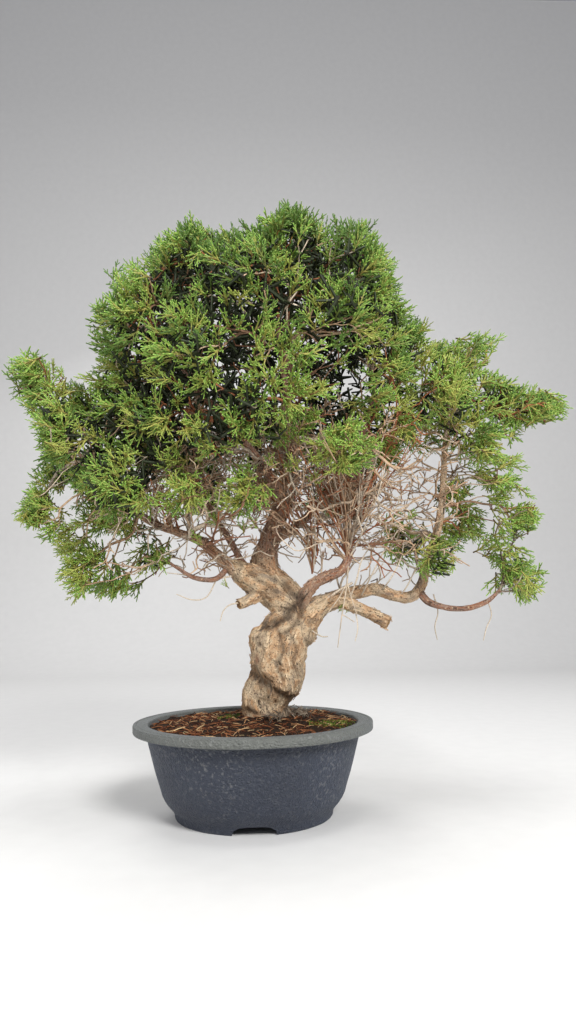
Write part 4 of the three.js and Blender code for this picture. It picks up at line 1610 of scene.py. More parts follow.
class LeafyAxis(StemTree):
    """The tree for an axis that carries children in turns along it and one at its end."""

    def __init__(self) -> None:
        """Builds the tree."""
        super().__init__("leafy_axis")
        child = self.takes("Child", "Geometry")
        length, girth, count, steps, seed = self.numbers(
            length=0.013, girth=0.0007, count=6, steps=3, seed=0
        )
        start, angle, turn, jitter, low, high = self.numbers(
            start=0.2, angle=0.66, turn=GOLDEN_ANGLE, jitter=0.25, low_scale=1.0, high_scale=0.7
        )
        bend, along_low, along_high = self.numbers(bend=0.15, along_low=0.0, along_high=0.4)
        index = self.add("GeometryNodeInputIndex")
        factor = self.add("GeometryNodeSplineParameter")
        bow = self.times(self.times(factor, factor), self.times(bend, length))
        sway = self.times(self.random(-0.05, 0.05, seed, index), length)
        line = self.resampled(self.line(End=self.combined(Z=length)), steps)
        line = self.moved(line, self.combined(X=bow, Y=sway))
        line = self.stem(line, girth, 0.25, along_low, along_high)
        rest = self.add("GeometryNodeTrimCurve", {"Curve": line, 2: start})
        node = self.node("GeometryNodeCurveToPoints", {"Curve": rest, "Count": count})
        is_last = self.math("GREATER_THAN", index, self.minus(count, 1.5))
        around = self.plus(self.times(index, turn), self.random(-0.4, 0.4, seed, index, 5))
        spread = self.times(jitter, self.random(-1.0, 1.0, seed, index, 9))
        tilt = self.times(self.times(angle, self.minus(1.0, is_last)), self.plus(1.0, spread))
        spun = self.turned(node.outputs["Rotation"], self.about((0, 0, 1), around))
        leant = self.turned(spun, self.about((1, 0, 0), tilt))
        share = self.math("DIVIDE", index, self.minus(count, 0.99))
        size = self.remap(share, to_low=low, to_high=high)
        size = self.times(size, self.random(0.82, 1.15, seed, index, 13))
        children = self.instanced(node.outputs["Points"], child, leant, size)
        whole = self.add("GeometryNodeJoinGeometry", {"Geometry": [self.swept(line), children]})
        self.gives("Geometry", "Geometry", whole)

    def about(self, axis: Triple, angle: Socket) -> Socket:
        """Makes the rotation about an axis by an angle."""
        return self.add("FunctionNodeAxisAngleToRotation", {"Axis": axis, "Angle": angle})


class Scatter(GeometryTree):
    """The tree that puts sprays of several kinds on marked points and dresses them."""

    def __init__(self, kinds: int) -> None:
        """Builds the tree.

        Args:
            kinds: How many kinds of leafy spray there are.
        """
        super().__init__("sprays")
        self.shoot, self.axis = Shoot(), LeafyAxis()
        points = self.takes("Geometry", "Geometry")
        shoot_length, shoot_girth = self.numbers(shoot_length=0.0064, shoot_girth=0.00098)
        axis_length, axis_shoots, axis_angle = self.numbers(
            axis_length=0.0145, axis_shoots=4, axis_angle=0.6
        )
        spray_length, spray_axes, spray_angle = self.numbers(
            spray_length=0.021, spray_axes=7, spray_angle=0.62
        )
        nest_length, nest_girth, bare_length = self.numbers(
            nest_length=0.0165, nest_girth=0.0018, bare_length=0.013
        )
        finish = self.takes("Material", "Material")
        shoot = self.group(self.shoot, length=shoot_length, girth=shoot_girth)
        several = []
        for kind in range(kinds):
            side = self.group(
                self.axis, child=shoot, length=axis_length, girth=0.00096, count=axis_shoots,
                start=0.38, steps=2, angle=axis_angle, low_scale=1.0, high_scale=0.85, bend=0.12,
                seed=SEED + kind, along_low=0.2, along_high=0.6,
            )
            several.append(self.group(
                self.axis, child=side, length=spray_length, girth=0.001, count=spray_axes,
                start=0.12, steps=4, angle=spray_angle, low_scale=1.1, high_scale=0.75,
                bend=0.22 - 0.06 * kind, seed=SEED + 100 + kind, along_low=0.0, along_high=0.35,
            ))
        cord = self.group(self.shoot, length=nest_length, girth=nest_girth)
        several.append(self.group(
            self.axis, child=cord, length=nest_length, girth=0.001, count=7, start=0.05, steps=2,
            angle=1.1, low_scale=1.0, high_scale=0.9, seed=SEED + 200,
        ))
        twig = self.group(
            self.axis, child=shoot, length=bare_length, girth=0.0006, count=3, start=0.3, steps=2,
            angle=0.7, seed=SEED + 300,
        )
        several.append(self.group(
            self.axis, child=twig, length=spray_length, girth=0.0008, count=4, start=0.15, steps=3,
            angle=0.6, low_scale=1.2, high_scale=0.8, bend=0.3, seed=SEED + 301,
        ))
        copies = [self.add("GeometryNodeGeometryToInstance", {"Geometry": one}) for one in several]
        # A join lists its last link first.
        choice = self.add("GeometryNodeJoinGeometry", {"Geometry": copies[::-1]})
        heading = self.named("turn", "FLOAT_VECTOR")
        sprays = self.instanced(
            points, choice, self.add("FunctionNodeEulerToRotation", {0: heading}),
            self.named("size"), Pick_Instance=True,
            Instance_Index=self.add("FunctionNodeFloatToInt", {0: self.named("kind")}),
        )
        sprays = self.without(self.charted(sprays), "turn", "size", "kind", "along", "tint")
        self.finished(sprays, finish)

    def group(self, tree: Group, **inputs: Value) -> Socket:
        """Places another tree with its inputs and returns its geometry."""
        named = {spelt(name): value for name, value in inputs.items()}
        return self.add("GeometryNodeGroup", named, node_tree=tree.tree)


@dataclass
class Spray:
    """One spray: its base, the way it points, its size, its tint and its kind."""

    base: np.ndarray
    heading: np.ndarray
    size: float
    tint: float
    kind: int


@dataclass
class Pad:
    """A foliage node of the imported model: its name, centre and radius in mm."""

    node: str
    centre: np.ndarray
    radius: float
    sprays: list[Spray] = field(default_factory=list)


def pads_of_frame() -> list[Pad]:
    """Lists the foliage nodes of the frame with the places and sizes of their boxes.

    Returns:
        The pads, without sprays.
    """
    pads = []
    for node in sorted(name for name in frame["nodes"] if name.startswith("foliage_")):
        low, high = (np.array(corner[:]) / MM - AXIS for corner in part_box(node))
        pads.append(Pad(node, (low + high) / 2, float((high - low).mean() / 2)))
    return pads


@dataclass(frozen=True)
class Hollow:
    """A gap in the foliage: its centre and radius in mm."""

    centre: Triple
    radius: float


HOLLOWS = [
    Hollow((-89, -95, 494), 22),
    Hollow((-5, -118, 424), 30),
    Hollow((49, -125, 405), 12),
    Hollow((74, -110, 384), 13),
    Hollow((-85, -66, 401), 13),
]


FILLS = [
    (-215, -20, 395, 30), (-205, 0, 340, 34), (-165, -30, 340, 34), (-180, 0, 270, 30),
    (-140, -10, 290, 30), (-195, 20, 270, 28), (-110, -50, 350, 34), (-130, 10, 420, 36),
    (-90, -78, 385, 38), (-140, 60, 400, 36), (-160, 0, 215, 24), (-45, -92, 366, 34),
    (-5, -100, 378, 32), (-140, -45, 362, 34), (-118, -50, 318, 30), (45, -104, 402, 30),
    (-80, -70, 345, 28), (265, 0, 450, 30), (215, -20, 445, 34), (250, -20, 400, 30),
    (300, 0, 402, 26), (215, 0, 400, 34), (258, 10, 372, 26), (290, 10, 325, 25), (268, 0, 310, 25),
    (300, 0, 262, 25), (262, -5, 250, 21), (225, 20, 320, 25), (285, 0, 208, 20), (336, 0, 418, 14),
    (130, -78, 408, 30), (160, -46, 385, 28), (-60, 112, 400, 40), (20, 122, 392, 40),
    (90, 118, 402, 40), (150, 80, 400, 38), (-120, 92, 396, 38), (180, 60, 420, 36),
    (60, 130, 440, 36), (10, 110, 350, 34),
]


OUTLINE = [
    (273, 204), (291, 197), (305, 209), (312, 230), (296, 248), (273, 262), (280, 274), (310, 285),
    (312, 300), (287, 323), (294, 338), (299, 355), (264, 371), (291, 379), (301, 391), (326, 402),
    (352, 413), (325, 433), (297, 444), (278, 457), (254, 471), (275, 481), (282, 494), (264, 505),
    (244, 492), (223, 488), (201, 499), (198, 515), (184, 525), (175, 541), (172, 560), (165, 574),
    (167, 591), (151, 605), (142, 632), (134, 645), (118, 644), (104, 636), (77, 642), (64, 648),
    (50, 659), (36, 652), (23, 639), (9, 631), (-18, 623), (-58, 624), (-72, 638), (-84, 622),
    (-97, 622), (-111, 604), (-137, 582), (-152, 568), (-160, 541), (-182, 529), (-171, 515),
    (-179, 502), (-172, 486), (-179, 447), (-196, 447), (-209, 463), (-225, 473), (-252, 475),
    (-264, 462), (-246, 436), (-252, 421), (-240, 408), (-230, 392), (-223, 370), (-222, 355),
    (-238, 340), (-242, 319), (-247, 294), (-224, 279), (-212, 267), (-200, 252), (-201, 228),
    (-195, 209), (-161, 214), (-128, 209),
]


TUFTS = [
    (10, -70, 353, 0.75, 0.6), (23, -66, 334, 0.7, 0.4), (-2, -62, 323, 0.75, 0.7),
    (34, -70, 361, 0.8, 0.5), (16, -52, 305, 0.6, 0.6), (38, -60, 331, 0.7, 0.3),
    (-12, -60, 306, 0.75, 0.5), (4, -44, 282, 0.6, 0.7), (-8, -40, 273, 0.55, 0.6),
    (-20, -50, 295, 0.7, 0.4), (28, -76, 377, 0.8, 0.7), (45, -70, 355, 0.7, 0.6),
    (14, -76, 373, 0.8, 0.3), (58, -80, 380, 0.7, 0.7), (47, -84, 399, 0.7, 0.5),
    (-40, -14, 249, 0.5, 1.0), (6, -20, 262, 0.55, 1.0), (122, -24, 265, 0.4, 1.0),
    (57, -22, 262, 0.4, 1.0), (113, -20, 261, 0.45, 1.0), (199, -10, 324, 0.5, 1.0),
    (71, -20, 249, 0.35, 1.0), (-7, -18, 250, 0.3, 1.0), (86, -20, 196, 0.32, 0.3),
    (94, -16, 195, 0.28, 0.5), (-24, -10, 222, 0.35, 0.6), (-48, -30, 264, 0.6, 0.5),
    (-30, -40, 281, 0.7, 0.5), (-16, -60, 301, 0.8, 0.7), (0, -55, 286, 0.7, 0.6),
    (78, -24, 209, 0.2, 1.0), (-27, -12, 255, 0.4, 1.0), (18, -40, 304, 0.5, 1.0),
    (161, -10, 291, 0.5, 0.4), (47, -70, 333, 0.7, 0.8), (62, -66, 318, 0.6, 0.7),
]


@dataclass
class Outline:
    """The foliage's outline from the front: [x, z] where lines of sight meet the axis's plane."""

    eye: Triple = (0.0, -744.5, 191.8)
    top: float = 631.0
    corners: np.ndarray = field(default_factory=lambda: np.array(OUTLINE, float))

    def seen(self, place: np.ndarray) -> np.ndarray:
        """Returns where the line of sight to a place crosses the plane."""
        share = -self.eye[1] / (place[1] - self.eye[1])
        return np.array([place[0] * share, self.eye[2] + (place[2] - self.eye[2]) * share])

    def holds(self, place: np.ndarray) -> bool:
        """Tells whether a place is seen inside the outline.

        Args:
            place: The place in mm.

        Returns:
            True if it is.
        """
        x, z = self.seen(place)
        first, last = self.corners, np.roll(self.corners, -1, axis=0)
        crossed = (first[:, 1] > z) != (last[:, 1] > z)
        rise = np.where(crossed, last[:, 1] - first[:, 1], 1.0)
        meets = first[:, 0] + (z - first[:, 1]) * (last[:, 0] - first[:, 0]) / rise
        return bool(np.count_nonzero(crossed & (x < meets)) % 2)

    def rim(self, apart: float, depths: np.ndarray) -> list[tuple[np.ndarray, np.ndarray]]:
        """Lists places along the outline and the ways out of it.

        Args:
            apart: Distance from one place to the next.
            depths: Distances behind the plane, used in turn.

        Returns:
            Pairs of a place and a unit vector.
        """
        pairs = []
        left = 0.0
        for first, last in zip(self.corners[:-1], self.corners[1:]):
            run = last - first
            span = float(np.linalg.norm(run))
            while left < span:
                spot = first + run * left / span
                share = (depths[len(pairs) % len(depths)] - self.eye[1]) / -self.eye[1]
                if spot[1] > self.top:
                    share = min(share, (self.top - self.eye[2]) / (spot[1] - self.eye[2]))
                rise = (spot[1] - self.eye[2]) * share
                place = np.array([spot[0] * share, self.eye[1] * (1 - share), self.eye[2] + rise])
                pairs.append((place, np.array([run[1], 0.0, -run[0]]) / span))
                left += apart
            left -= span
        return pairs


@dataclass(frozen=True)
class Thin:
    """A part where the foliage is thin, seen from the front: middle, reach, depth, share kept."""

    middle: tuple[float, float]
    reach: tuple[float, float]
    depth: float
    kept: float

    def holds(self, place: np.ndarray) -> bool:
        """Tells whether a place is in this part.

        Args:
            place: The place in mm.

        Returns:
            True if it is.
        """
        across = (place[0] - self.middle[0]) / self.reach[0]
        upward = (place[2] - self.middle[1]) / self.reach[1]
        return place[1] < self.depth and math.hypot(across, upward) < 1


THINS = [
    Thin((112, 402), (100, 74), 45, 0.42),
    Thin((-48, 310), (66, 40), 60, 0.35),
    Thin((272, 318), (78, 96), 200, 0.8),
    Thin((-196, 262), (66, 84), 200, 0.88),
]

SIDES = np.array([
    (1, 0, 0), (-1, 0, 0), (0, 0, 1), (0, 0, -1), (0.7, 0, 0.7), (-0.7, 0, 0.7),
], float)


def unit(way: np.ndarray) -> np.ndarray:
    """Returns a vector at length 1."""
    return way / np.linalg.norm(way)


@dataclass(frozen=True)
class Ball:
    """A round bunch of foliage: the number of its pad, its centre and its radius in mm."""

    pad: int
    centre: np.ndarray
    radius: float


@dataclass
class Foliage:
    """The sprays over the joined surface of all the pads."""

    crown_centre: Triple = (14, 0, 460)
    crown_reach: Triple = (190, 150, 178)
    sides_centre: Triple = (20, 0, 350)
    inner_least: tuple[float, float] = (-0.1, -0.5)
    swell: float = 1.24
    inset: float = 0.97
    grid: float = 60.0
    deeper: float = 8.0
    crown_floor: float = 385.0
    apart: float = 14.2
    spray_length: float = 34.0
    sizes: tuple[float, float] = (0.74, 1.12)
    stray: tuple[float, float] = (-13, 4)
    broad: float = 32.0
    highest: float = 627.0
    # Painted shade by height: the sprays' tint is lowered towards the top of the crown, which
    # deepens its green there.
    painted_shade_heights: Triple = (340.0, 460.0, 600.0)
    painted_shades: Triple = (-0.08, 0.02, 0.32)
    kinds: int = 4
    rim_apart: float = 9.5
    rim_depth: float = 26.0
    rim_rows: int = 97
    rim_radius: float = 24.0
    rim_inset: float = 3.0
    draws_back: int = 8
    draw_back: float = 5.0
    tuft_root: float = 40.0
    nest_tries: int = 26000
    nest_apart: float = 17.0
    nest_room: float = 26.0
    nest_gap: float = 1.15
    nest_depths: tuple[float, float] = (15.0, 42.0)
    bare: int = 170
    bare_low: Triple = (-170, -95, 262)
    bare_high: Triple = (225, 95, 400)
    outline: Outline = field(default_factory=Outline)
    thins: Sequence[Thin] = field(default_factory=lambda: THINS)
    fills: Sequence[tuple[float, ...]] = field(default_factory=lambda: FILLS)
    hollows: Sequence[Hollow] = field(default_factory=lambda: HOLLOWS)
    tufts: Sequence[tuple[float, ...]] = field(default_factory=lambda: TUFTS)
    pads: list[Pad] = field(default_factory=pads_of_frame)

    def plan(self) -> list[Pad]:
        """Places every spray on the outside of the joined pads.

        Returns:
            The pads with their sprays.
        """
        self.random = np.random.default_rng(SEED)
        self.balls = self.bunches()
        self.centres = np.array([one.centre for one in self.balls])
        self.radii = np.array([one.radius for one in self.balls])
        spots = self.spots()
        taken = self.rim_sprays()
        for k in self.random.permutation(len(spots)):
            number, place, way, radius = spots[k]
            if np.linalg.norm(taken - place, axis=1).min() < self.apart:
                continue
            if self.in_hollow(place):
                continue
            kept = min([thin.kept for thin in self.thins if thin.holds(place)], default=1.0)
            if self.random.random() > kept:
                continue
            spray = self.spray_at(place, way, radius)
            if self.fitted(spray):
                taken = np.vstack([taken, place])
                self.pads[number].sprays.append(spray)
        for pad in self.pads:
            if not pad.sprays:
                pad.sprays.append(self.spray_at(pad.centre, np.array([0, 0, 1.0]), pad.radius))
        for count, (x, y, z, size, tint) in enumerate(self.tufts, len(taken)):
            place = np.array([x, y, z], float)
            heading = np.array([x - self.tuft_root, y, 60.0]) + self.random.normal(0, 25, 3)
            pad = min(self.pads, key=lambda one: float(np.linalg.norm(one.centre - place)))
            pad.sprays.append(Spray(place, unit(heading), size, tint, count % self.kinds))
        log.info("sprays: %d", len(taken) + len(self.tufts))
        log.info("nest: %d", self.painted_shade_nest())
        self.bare_sprays()
        for spray in [spray for pad in self.pads for spray in pad.sprays]:
            tip = spray.base[2] + spray.heading[2] * self.spray_length * spray.size
            spray.base[2] -= max(0.0, tip - self.highest)
        return self.pads

    def bunches(self) -> list[Ball]:
        """Turns the pads and the fills between them into balls.

        Returns:
            The balls.
        """
        balls = []
        for number, pad in enumerate(self.pads):
            radius = pad.radius * self.swell
            if "_crown_" in pad.node:
                inward = unit(pad.centre - np.array(self.crown_centre)) * self.deeper
                balls.append(Ball(number, pad.centre - inward, radius + self.deeper))
            else:
                balls.append(Ball(number, pad.centre, radius))
        middles = np.array([pad.centre for pad in self.pads])
        for x, y, z, radius in self.fills:
            centre = np.array([x, y, z], float)
            number = int(np.linalg.norm(middles - centre, axis=1).argmin())
            balls.append(Ball(number, centre, float(radius)))
        return balls

    def spots(self) -> list[tuple[int, np.ndarray, np.ndarray, float]]:
        """Lists places all over the joined balls, apart from their undersides.

        Returns:
            The pad, the place, the way out and the ball's radius for each.
        """
        spots = []
        for k, one in enumerate(self.balls):
            centre, radius = one.centre, one.radius
            ways = self.ball_of_ways(int(4 * math.pi * radius ** 2 / self.grid))
            places = centre + ways * radius
            gap = np.linalg.norm(places[:, None] - self.centres[None], axis=2)
            gap = gap - self.radii[None] * self.inset
            gap[:, k] = 1.0
            outside = gap.min(axis=1) > 0
            near = abs(centre[0] - self.crown_centre[0]) < self.crown_reach[0]
            if centre[2] > self.crown_floor and near:
                out, least = (centre - self.crown_centre) / self.crown_reach, self.inner_least[0]
            else:
                out, least = centre - self.sides_centre, self.inner_least[1]
            outside &= (ways @ unit(out)) > least
            found = zip(places[outside], ways[outside])
            spots += [(one.pad, place, way, radius) for place, way in found]
        return spots

    def rim_sprays(self) -> np.ndarray:
        """Adds the sprays along the outline.

        Returns:
            Their places.
        """
        taken = []
        depths = self.random.normal(0, self.rim_depth, self.rim_rows)
        for place, way in self.outline.rim(self.rim_apart, depths):
            gaps = np.linalg.norm(self.centres - place, axis=1) - self.radii
            way = way + self.random.normal(0, 0.35, 3)
            spray = self.spray_at(place - way * self.rim_inset, way, self.rim_radius, free=0.0)
            if self.outline.holds(spray.base) and self.fitted(spray):
                taken.append(place)
                self.pads[self.balls[int(gaps.argmin())].pad].sprays.append(spray)
        return np.array(taken)

    def in_hollow(self, place: np.ndarray, swell: float = 1.0) -> bool:
        """Tells whether a place is in a gap, whose radius may be swollen."""
        gaps = ((np.linalg.norm(place - one.centre), one.radius) for one in self.hollows)
        return any(gap < radius * swell for gap, radius in gaps)

    def fitted(self, spray: Spray) -> bool:
        """Draws a spray back until its tip is seen inside the outline.

        Args:
            spray: The spray, which is moved.

        Returns:
            False if it can't be brought inside.
        """
        for _ in range(self.draws_back):
            if self.outline.holds(spray.base + spray.heading * self.spray_length * spray.size):
                return True
            spray.base = spray.base - spray.heading * self.draw_back
        return False

    def painted_shade_nest(self) -> int:
        """Fills the inside of the pads with old shoots, coloured near black as painted shade.

        Returns:
            How many there are.
        """
        low, high = self.nest_depths
        taken = np.zeros((0, 3))
        for _ in range(self.nest_tries):
            one = self.balls[self.random.integers(len(self.balls))]
            place = one.centre + self.random.uniform(-one.radius, one.radius, 3)
            depth = (self.radii - np.linalg.norm(self.centres - place, axis=1)).max()
            if not low < depth < high or any(thin.holds(place) for thin in self.thins):
                continue
            if not all(self.outline.holds(place + side) for side in self.nest_room * SIDES):
                continue
            if len(taken) and np.linalg.norm(taken - place, axis=1).min() < self.nest_apart:
                continue
            if self.in_hollow(place, self.nest_gap):
                continue
            taken = np.vstack([taken, place])
            heading = unit(self.random.normal(0, 1, 3) + np.array([0, 0, 0.5]))
            size = self.random.uniform(0.8, 1.2)
            spray = Spray(place - heading * 14, heading, size, 0.0, self.kinds)
            self.pads[one.pad].sprays.append(spray)
        return len(taken)

    def bare_sprays(self) -> None:
        """Adds leafless sprays in the bare mass under the crown."""
        count = 0
        while count < self.bare:
            place = self.random.uniform(self.bare_low, self.bare_high)
            across = math.hypot((place[0] - 25) / 205, place[1] / 100)
            gaps = np.linalg.norm(self.centres - place, axis=1) - self.radii
            if across > 1 or place[2] < self.bare_low[2] + 50 * across or gaps.min() < -6:
                continue
            outward = np.array([place[0] - 60, place[1], 90.0]) / 110
            heading = unit(outward + self.random.normal(0, 0.6, 3))
            size = self.random.uniform(0.7, 1.2)
            pad = self.pads[self.balls[int(gaps.argmin())].pad]
            pad.sprays.append(Spray(place, heading, size, 1.0, self.kinds + 1))
            count += 1

    def ball_of_ways(self, count: int) -> np.ndarray:
        """Makes unit vectors at even angles, turned at random.

        Args:
            count: How many.

        Returns:
            The vectors.
        """
        steps = np.arange(count)
        rise = 1 - 2 * (steps + 0.5) / count
        flat = np.sqrt(1 - rise ** 2)
        angle = steps * GOLDEN_ANGLE + self.random.uniform(0, 2 * math.pi)
        return np.column_stack([flat * np.cos(angle), flat * np.sin(angle), rise])

    def spray_at(self, place: np.ndarray, way: np.ndarray, radius: float,
                 free: float = 1.0) -> Spray:
        """Makes the spray whose tip is near a place.

        Args:
            place: Where its tip would be.
            way: The way out of the bunch.
            radius: Radius of the bunch.
            free: How far the tip strays from the place, as a share.

        Returns:
            The spray.
        """
        out = unit((place - np.array(self.crown_centre)) / np.array(self.crown_reach))
        along = 0.7 if radius > self.broad else 0.45
        heading = way * along + out * (1.1 - along) + np.array([0, 0, 0.15])
        heading = unit(heading + self.random.normal(0, 0.34, 3))
        size = self.random.uniform(*self.sizes) * min(1.0, 0.6 + radius / 75)
        tip = place + way * self.random.uniform(*self.stray) * free
        # Painted shade by height: the tint falls towards the top of the crown and rises lower down.
        shade = np.interp(place[2], self.painted_shade_heights, self.painted_shades)
        tint = np.clip(self.random.normal(0.5 - shade, 0.24), 0.1, 0.9)
        kind = int(self.random.integers(0, self.kinds))
        return Spray(tip - heading * self.spray_length * size, heading, size, float(tint), kind)

    def build(self, finish: Material) -> None:
        """Makes one piece for each pad.

        Args:
            finish: The shoots' material.
        """
        tree = Scatter(self.kinds)
        total = 0
        for pad in self.pads:
            mesh = bpy.data.meshes.new(pad.node)
            bases = np.array([spray.base for spray in pad.sprays])
            mesh.from_pydata(((bases + AXIS) * MM).tolist(), [], [])
            give(mesh, "turn", [self.turn_of(spray.heading) for spray in pad.sprays])
            for name in ("size", "tint", "kind"):
                give(mesh, name, [getattr(spray, name) for spray in pad.sprays])
            name = pad.node.replace("foliage_", "shoots_")
            piece = grown_by(linked(name + "_points", mesh), tree, {"Material": finish}, name)
            piece.data.shade_smooth()
            total += len(piece.data.polygons)
            settle(piece, Slot.FOLIAGE, pad.node)
        log.info("foliage: %d faces in all", total)

    def turn_of(self, heading: np.ndarray) -> list[float]:
        """Returns the Euler turn that points a spray's Z along its heading and bends its tip up.

        Args:
            heading: Unit vector that the spray points along.

        Returns:
            The three angles.
        """
        ahead = Vector(heading)
        lift = Vector((0, 0, 1)) - ahead * ahead.z
        if lift.length < 0.05:
            lift = ahead.orthogonal()
        lift.normalize()
        lift = Matrix.Rotation(self.random.normal(0, 0.7), 3, ahead) @ lift
        side = ahead.cross(lift)
        frame_of = Matrix((lift, side, ahead)).transposed()
        return list(frame_of.to_euler())


# Twigs

class TwigTubes(GeometryTree):
    """The tree that turns marked edges into twigs."""

    def __init__(self) -> None:
        """Builds the tree."""
        super().__init__("twig_tubes")
        edges = self.takes("Geometry", "Geometry")
        sides = self.takes("Sides", "Int", 4)
        finish = self.takes("Material", "Material")
        line = self.add("GeometryNodeMeshToCurve", {"Mesh": edges})
        tubes = self.swept(self.thickened(line, self.named("girth")), sides)
        self.finished(self.charted(tubes), finish)


STRAYS = [
    [(-15, -16, 207, 0.9), (-24, -16, 205, 0.8), (-30, -16, 199, 0.7), (-33, -16, 189, 0.5)],
    [(192, 8, 214, 0.9), (196, 8, 195, 0.7), (192, 8, 180, 0.7), (194, 8, 166, 0.5)],
    [(246, -4, 207, 0.8), (250, -2, 191, 0.7), (244, -2, 178, 0.7), (240, -2, 165, 0.5)],
    [(104, -16, 199, 0.8), (106, -18, 180, 0.7), (103, -18, 167, 0.5)],
    [(60, -12, 178, 0.9), (70, -14, 172, 0.7), (76, -14, 172, 0.6)],
    [(-9, 0, 238, 1.2), (-31, -10, 233, 1.0), (-50, -10, 231, 0.9), (-68, -10, 236, 0.7),
         (-88, -10, 239, 0.5)],
    [(-36, -11, 233, 1.0), (-48, -8, 213, 0.8), (-62, -8, 211, 0.7), (-78, -8, 217, 0.5)],
    [(156, 12, 212, 1.1), (163, 0, 224, 0.9), (172, 0, 241, 0.8), (182, 0, 258, 0.6)],
    [(136, 12, 218, 1.1), (143, -5, 229, 0.9), (155, -5, 250, 0.8), (160, -5, 271, 0.6)],
    [(99, -8, 208, 1.2), (106, -20, 229, 1.0), (112, -20, 249, 0.8), (126, -20, 269, 0.6)],
    [(114, 2, 214, 1.1), (122, -20, 234, 0.9), (133, -20, 254, 0.8), (151, -20, 280, 0.6)],
    [(76, -12, 210, 2.4), (89, -18, 219, 2.0), (102, -18, 226, 1.5)],
]


@dataclass
class Fan:
    """Straight old twigs that spread from one part of a branch, each with a few side twigs."""

    start: Triple
    end: Triple
    aim: Triple
    spread: float
    reach: tuple[float, float]
    count: int
    girths: tuple[float, float] = (1.15, 0.5)
    side_twigs: int = 3
    step: float = 16.0

    def lines(self, random: Random) -> list[tuple[np.ndarray, float]]:
        """Draws every twig.

        Args:
            random: The stream of random numbers.

        Returns:
            The places and radii of each twig, with its tint.
        """
        twigs = []
        start, end = np.array(self.start, float), np.array(self.end, float)
        for _ in range(self.count):
            base = start + (end - start) * random.random()
            way = np.array(self.aim) + random.normal(0, self.spread, 3)
            tints = [random.uniform(*span) for span in ((0.1, 0.5), (0.1, 0.5), (0.75, 1.0))]
            tint = random.choice(tints)
            main = self.twig(random, base, way, random.uniform(*self.reach), self.girths[0])
            twigs.append((main, tint))
            for _ in range(self.side_twigs):
                at = random.uniform(0.3, 0.85)
                joint = main[int(at * (len(main) - 1))]
                side = unit(way) + random.normal(0, 0.42, 3)
                length = random.uniform(0.3, 0.55) * self.reach[1] * (1.1 - at)
                girth = float(joint[3]) * 0.85
                twigs.append((self.twig(random, joint[:3], side, length, girth), tint))
        return twigs

    def twig(self, random: Random, base: np.ndarray, way: np.ndarray, length: float,
             girth: float) -> np.ndarray:
        """Draws one twig that bends a little.

        Args:
            random: The stream of random numbers.
            base: Where it starts.
            way: The way it goes.
            length: How long it is.
            girth: Its radius at the start.

        Returns:
            The places and radii along it.
        """
        steps = np.linspace(0, 1, max(3, round(length / self.step) + 1))[:, None]
        bend = random.normal(0, 0.1, 3) * length
        places = base + unit(way) * length * steps + bend * steps ** 2
        places = places + random.normal(0, 0.8, (len(steps), 3)) * steps
        return np.hstack([places, girth + (self.girths[1] - girth) * steps])


FANS = [
    Fan((97, -18, 246), (101, -18, 268), (-0.12, -0.1, 1.0), 0.42, (70, 140), 34),
    Fan((101, -18, 262), (112, -28, 310), (0.35, -0.1, 1.0), 0.4, (60, 130), 26),
    Fan((62, -6, 236), (70, -4, 262), (-0.25, -0.1, 1.0), 0.4, (60, 120), 12),
    Fan((-56, -16, 272), (-110, -20, 296), (-0.1, -0.1, 1.0), 0.5, (50, 100), 14),
]


@dataclass
class Runs:
    """Twigs as runs of edges, with what each of their corners carries."""

    spots: list[np.ndarray] = field(default_factory=list)
    girths: list[float] = field(default_factory=list)
    tints: list[float] = field(default_factory=list)
    alongs: list[float] = field(default_factory=list)
    edges: list[tuple[int, int]] = field(default_factory=list)
    period: float = 12.0

    def add(self, places: Sequence[np.ndarray], girths: Sequence[float], tint: float) -> None:
        """Adds a run.

        Args:
            places: Its places in mm.
            girths: Its radii in mm.
            tint: Its tint.
        """
        start, count = len(self.spots), len(places)
        self.spots += list(places)
        self.girths += [girth * MM for girth in girths]
        self.tints += [tint] * count
        self.alongs += [k / self.period for k in range(count)]
        self.edges += [(start + k, start + k + 1) for k in range(count - 1)]

    def mesh(self) -> Mesh:
        """Makes the mesh of marked edges.

        Returns:
            The mesh.
        """
        mesh = bpy.data.meshes.new("twig_lines")
        mesh.from_pydata(((np.array(self.spots) + AXIS) * MM).tolist(), self.edges, [])
        give(mesh, "girth", self.girths)
        give(mesh, "tint", self.tints)
        give(mesh, "along", np.array(self.alongs) % 1.0)
        return mesh


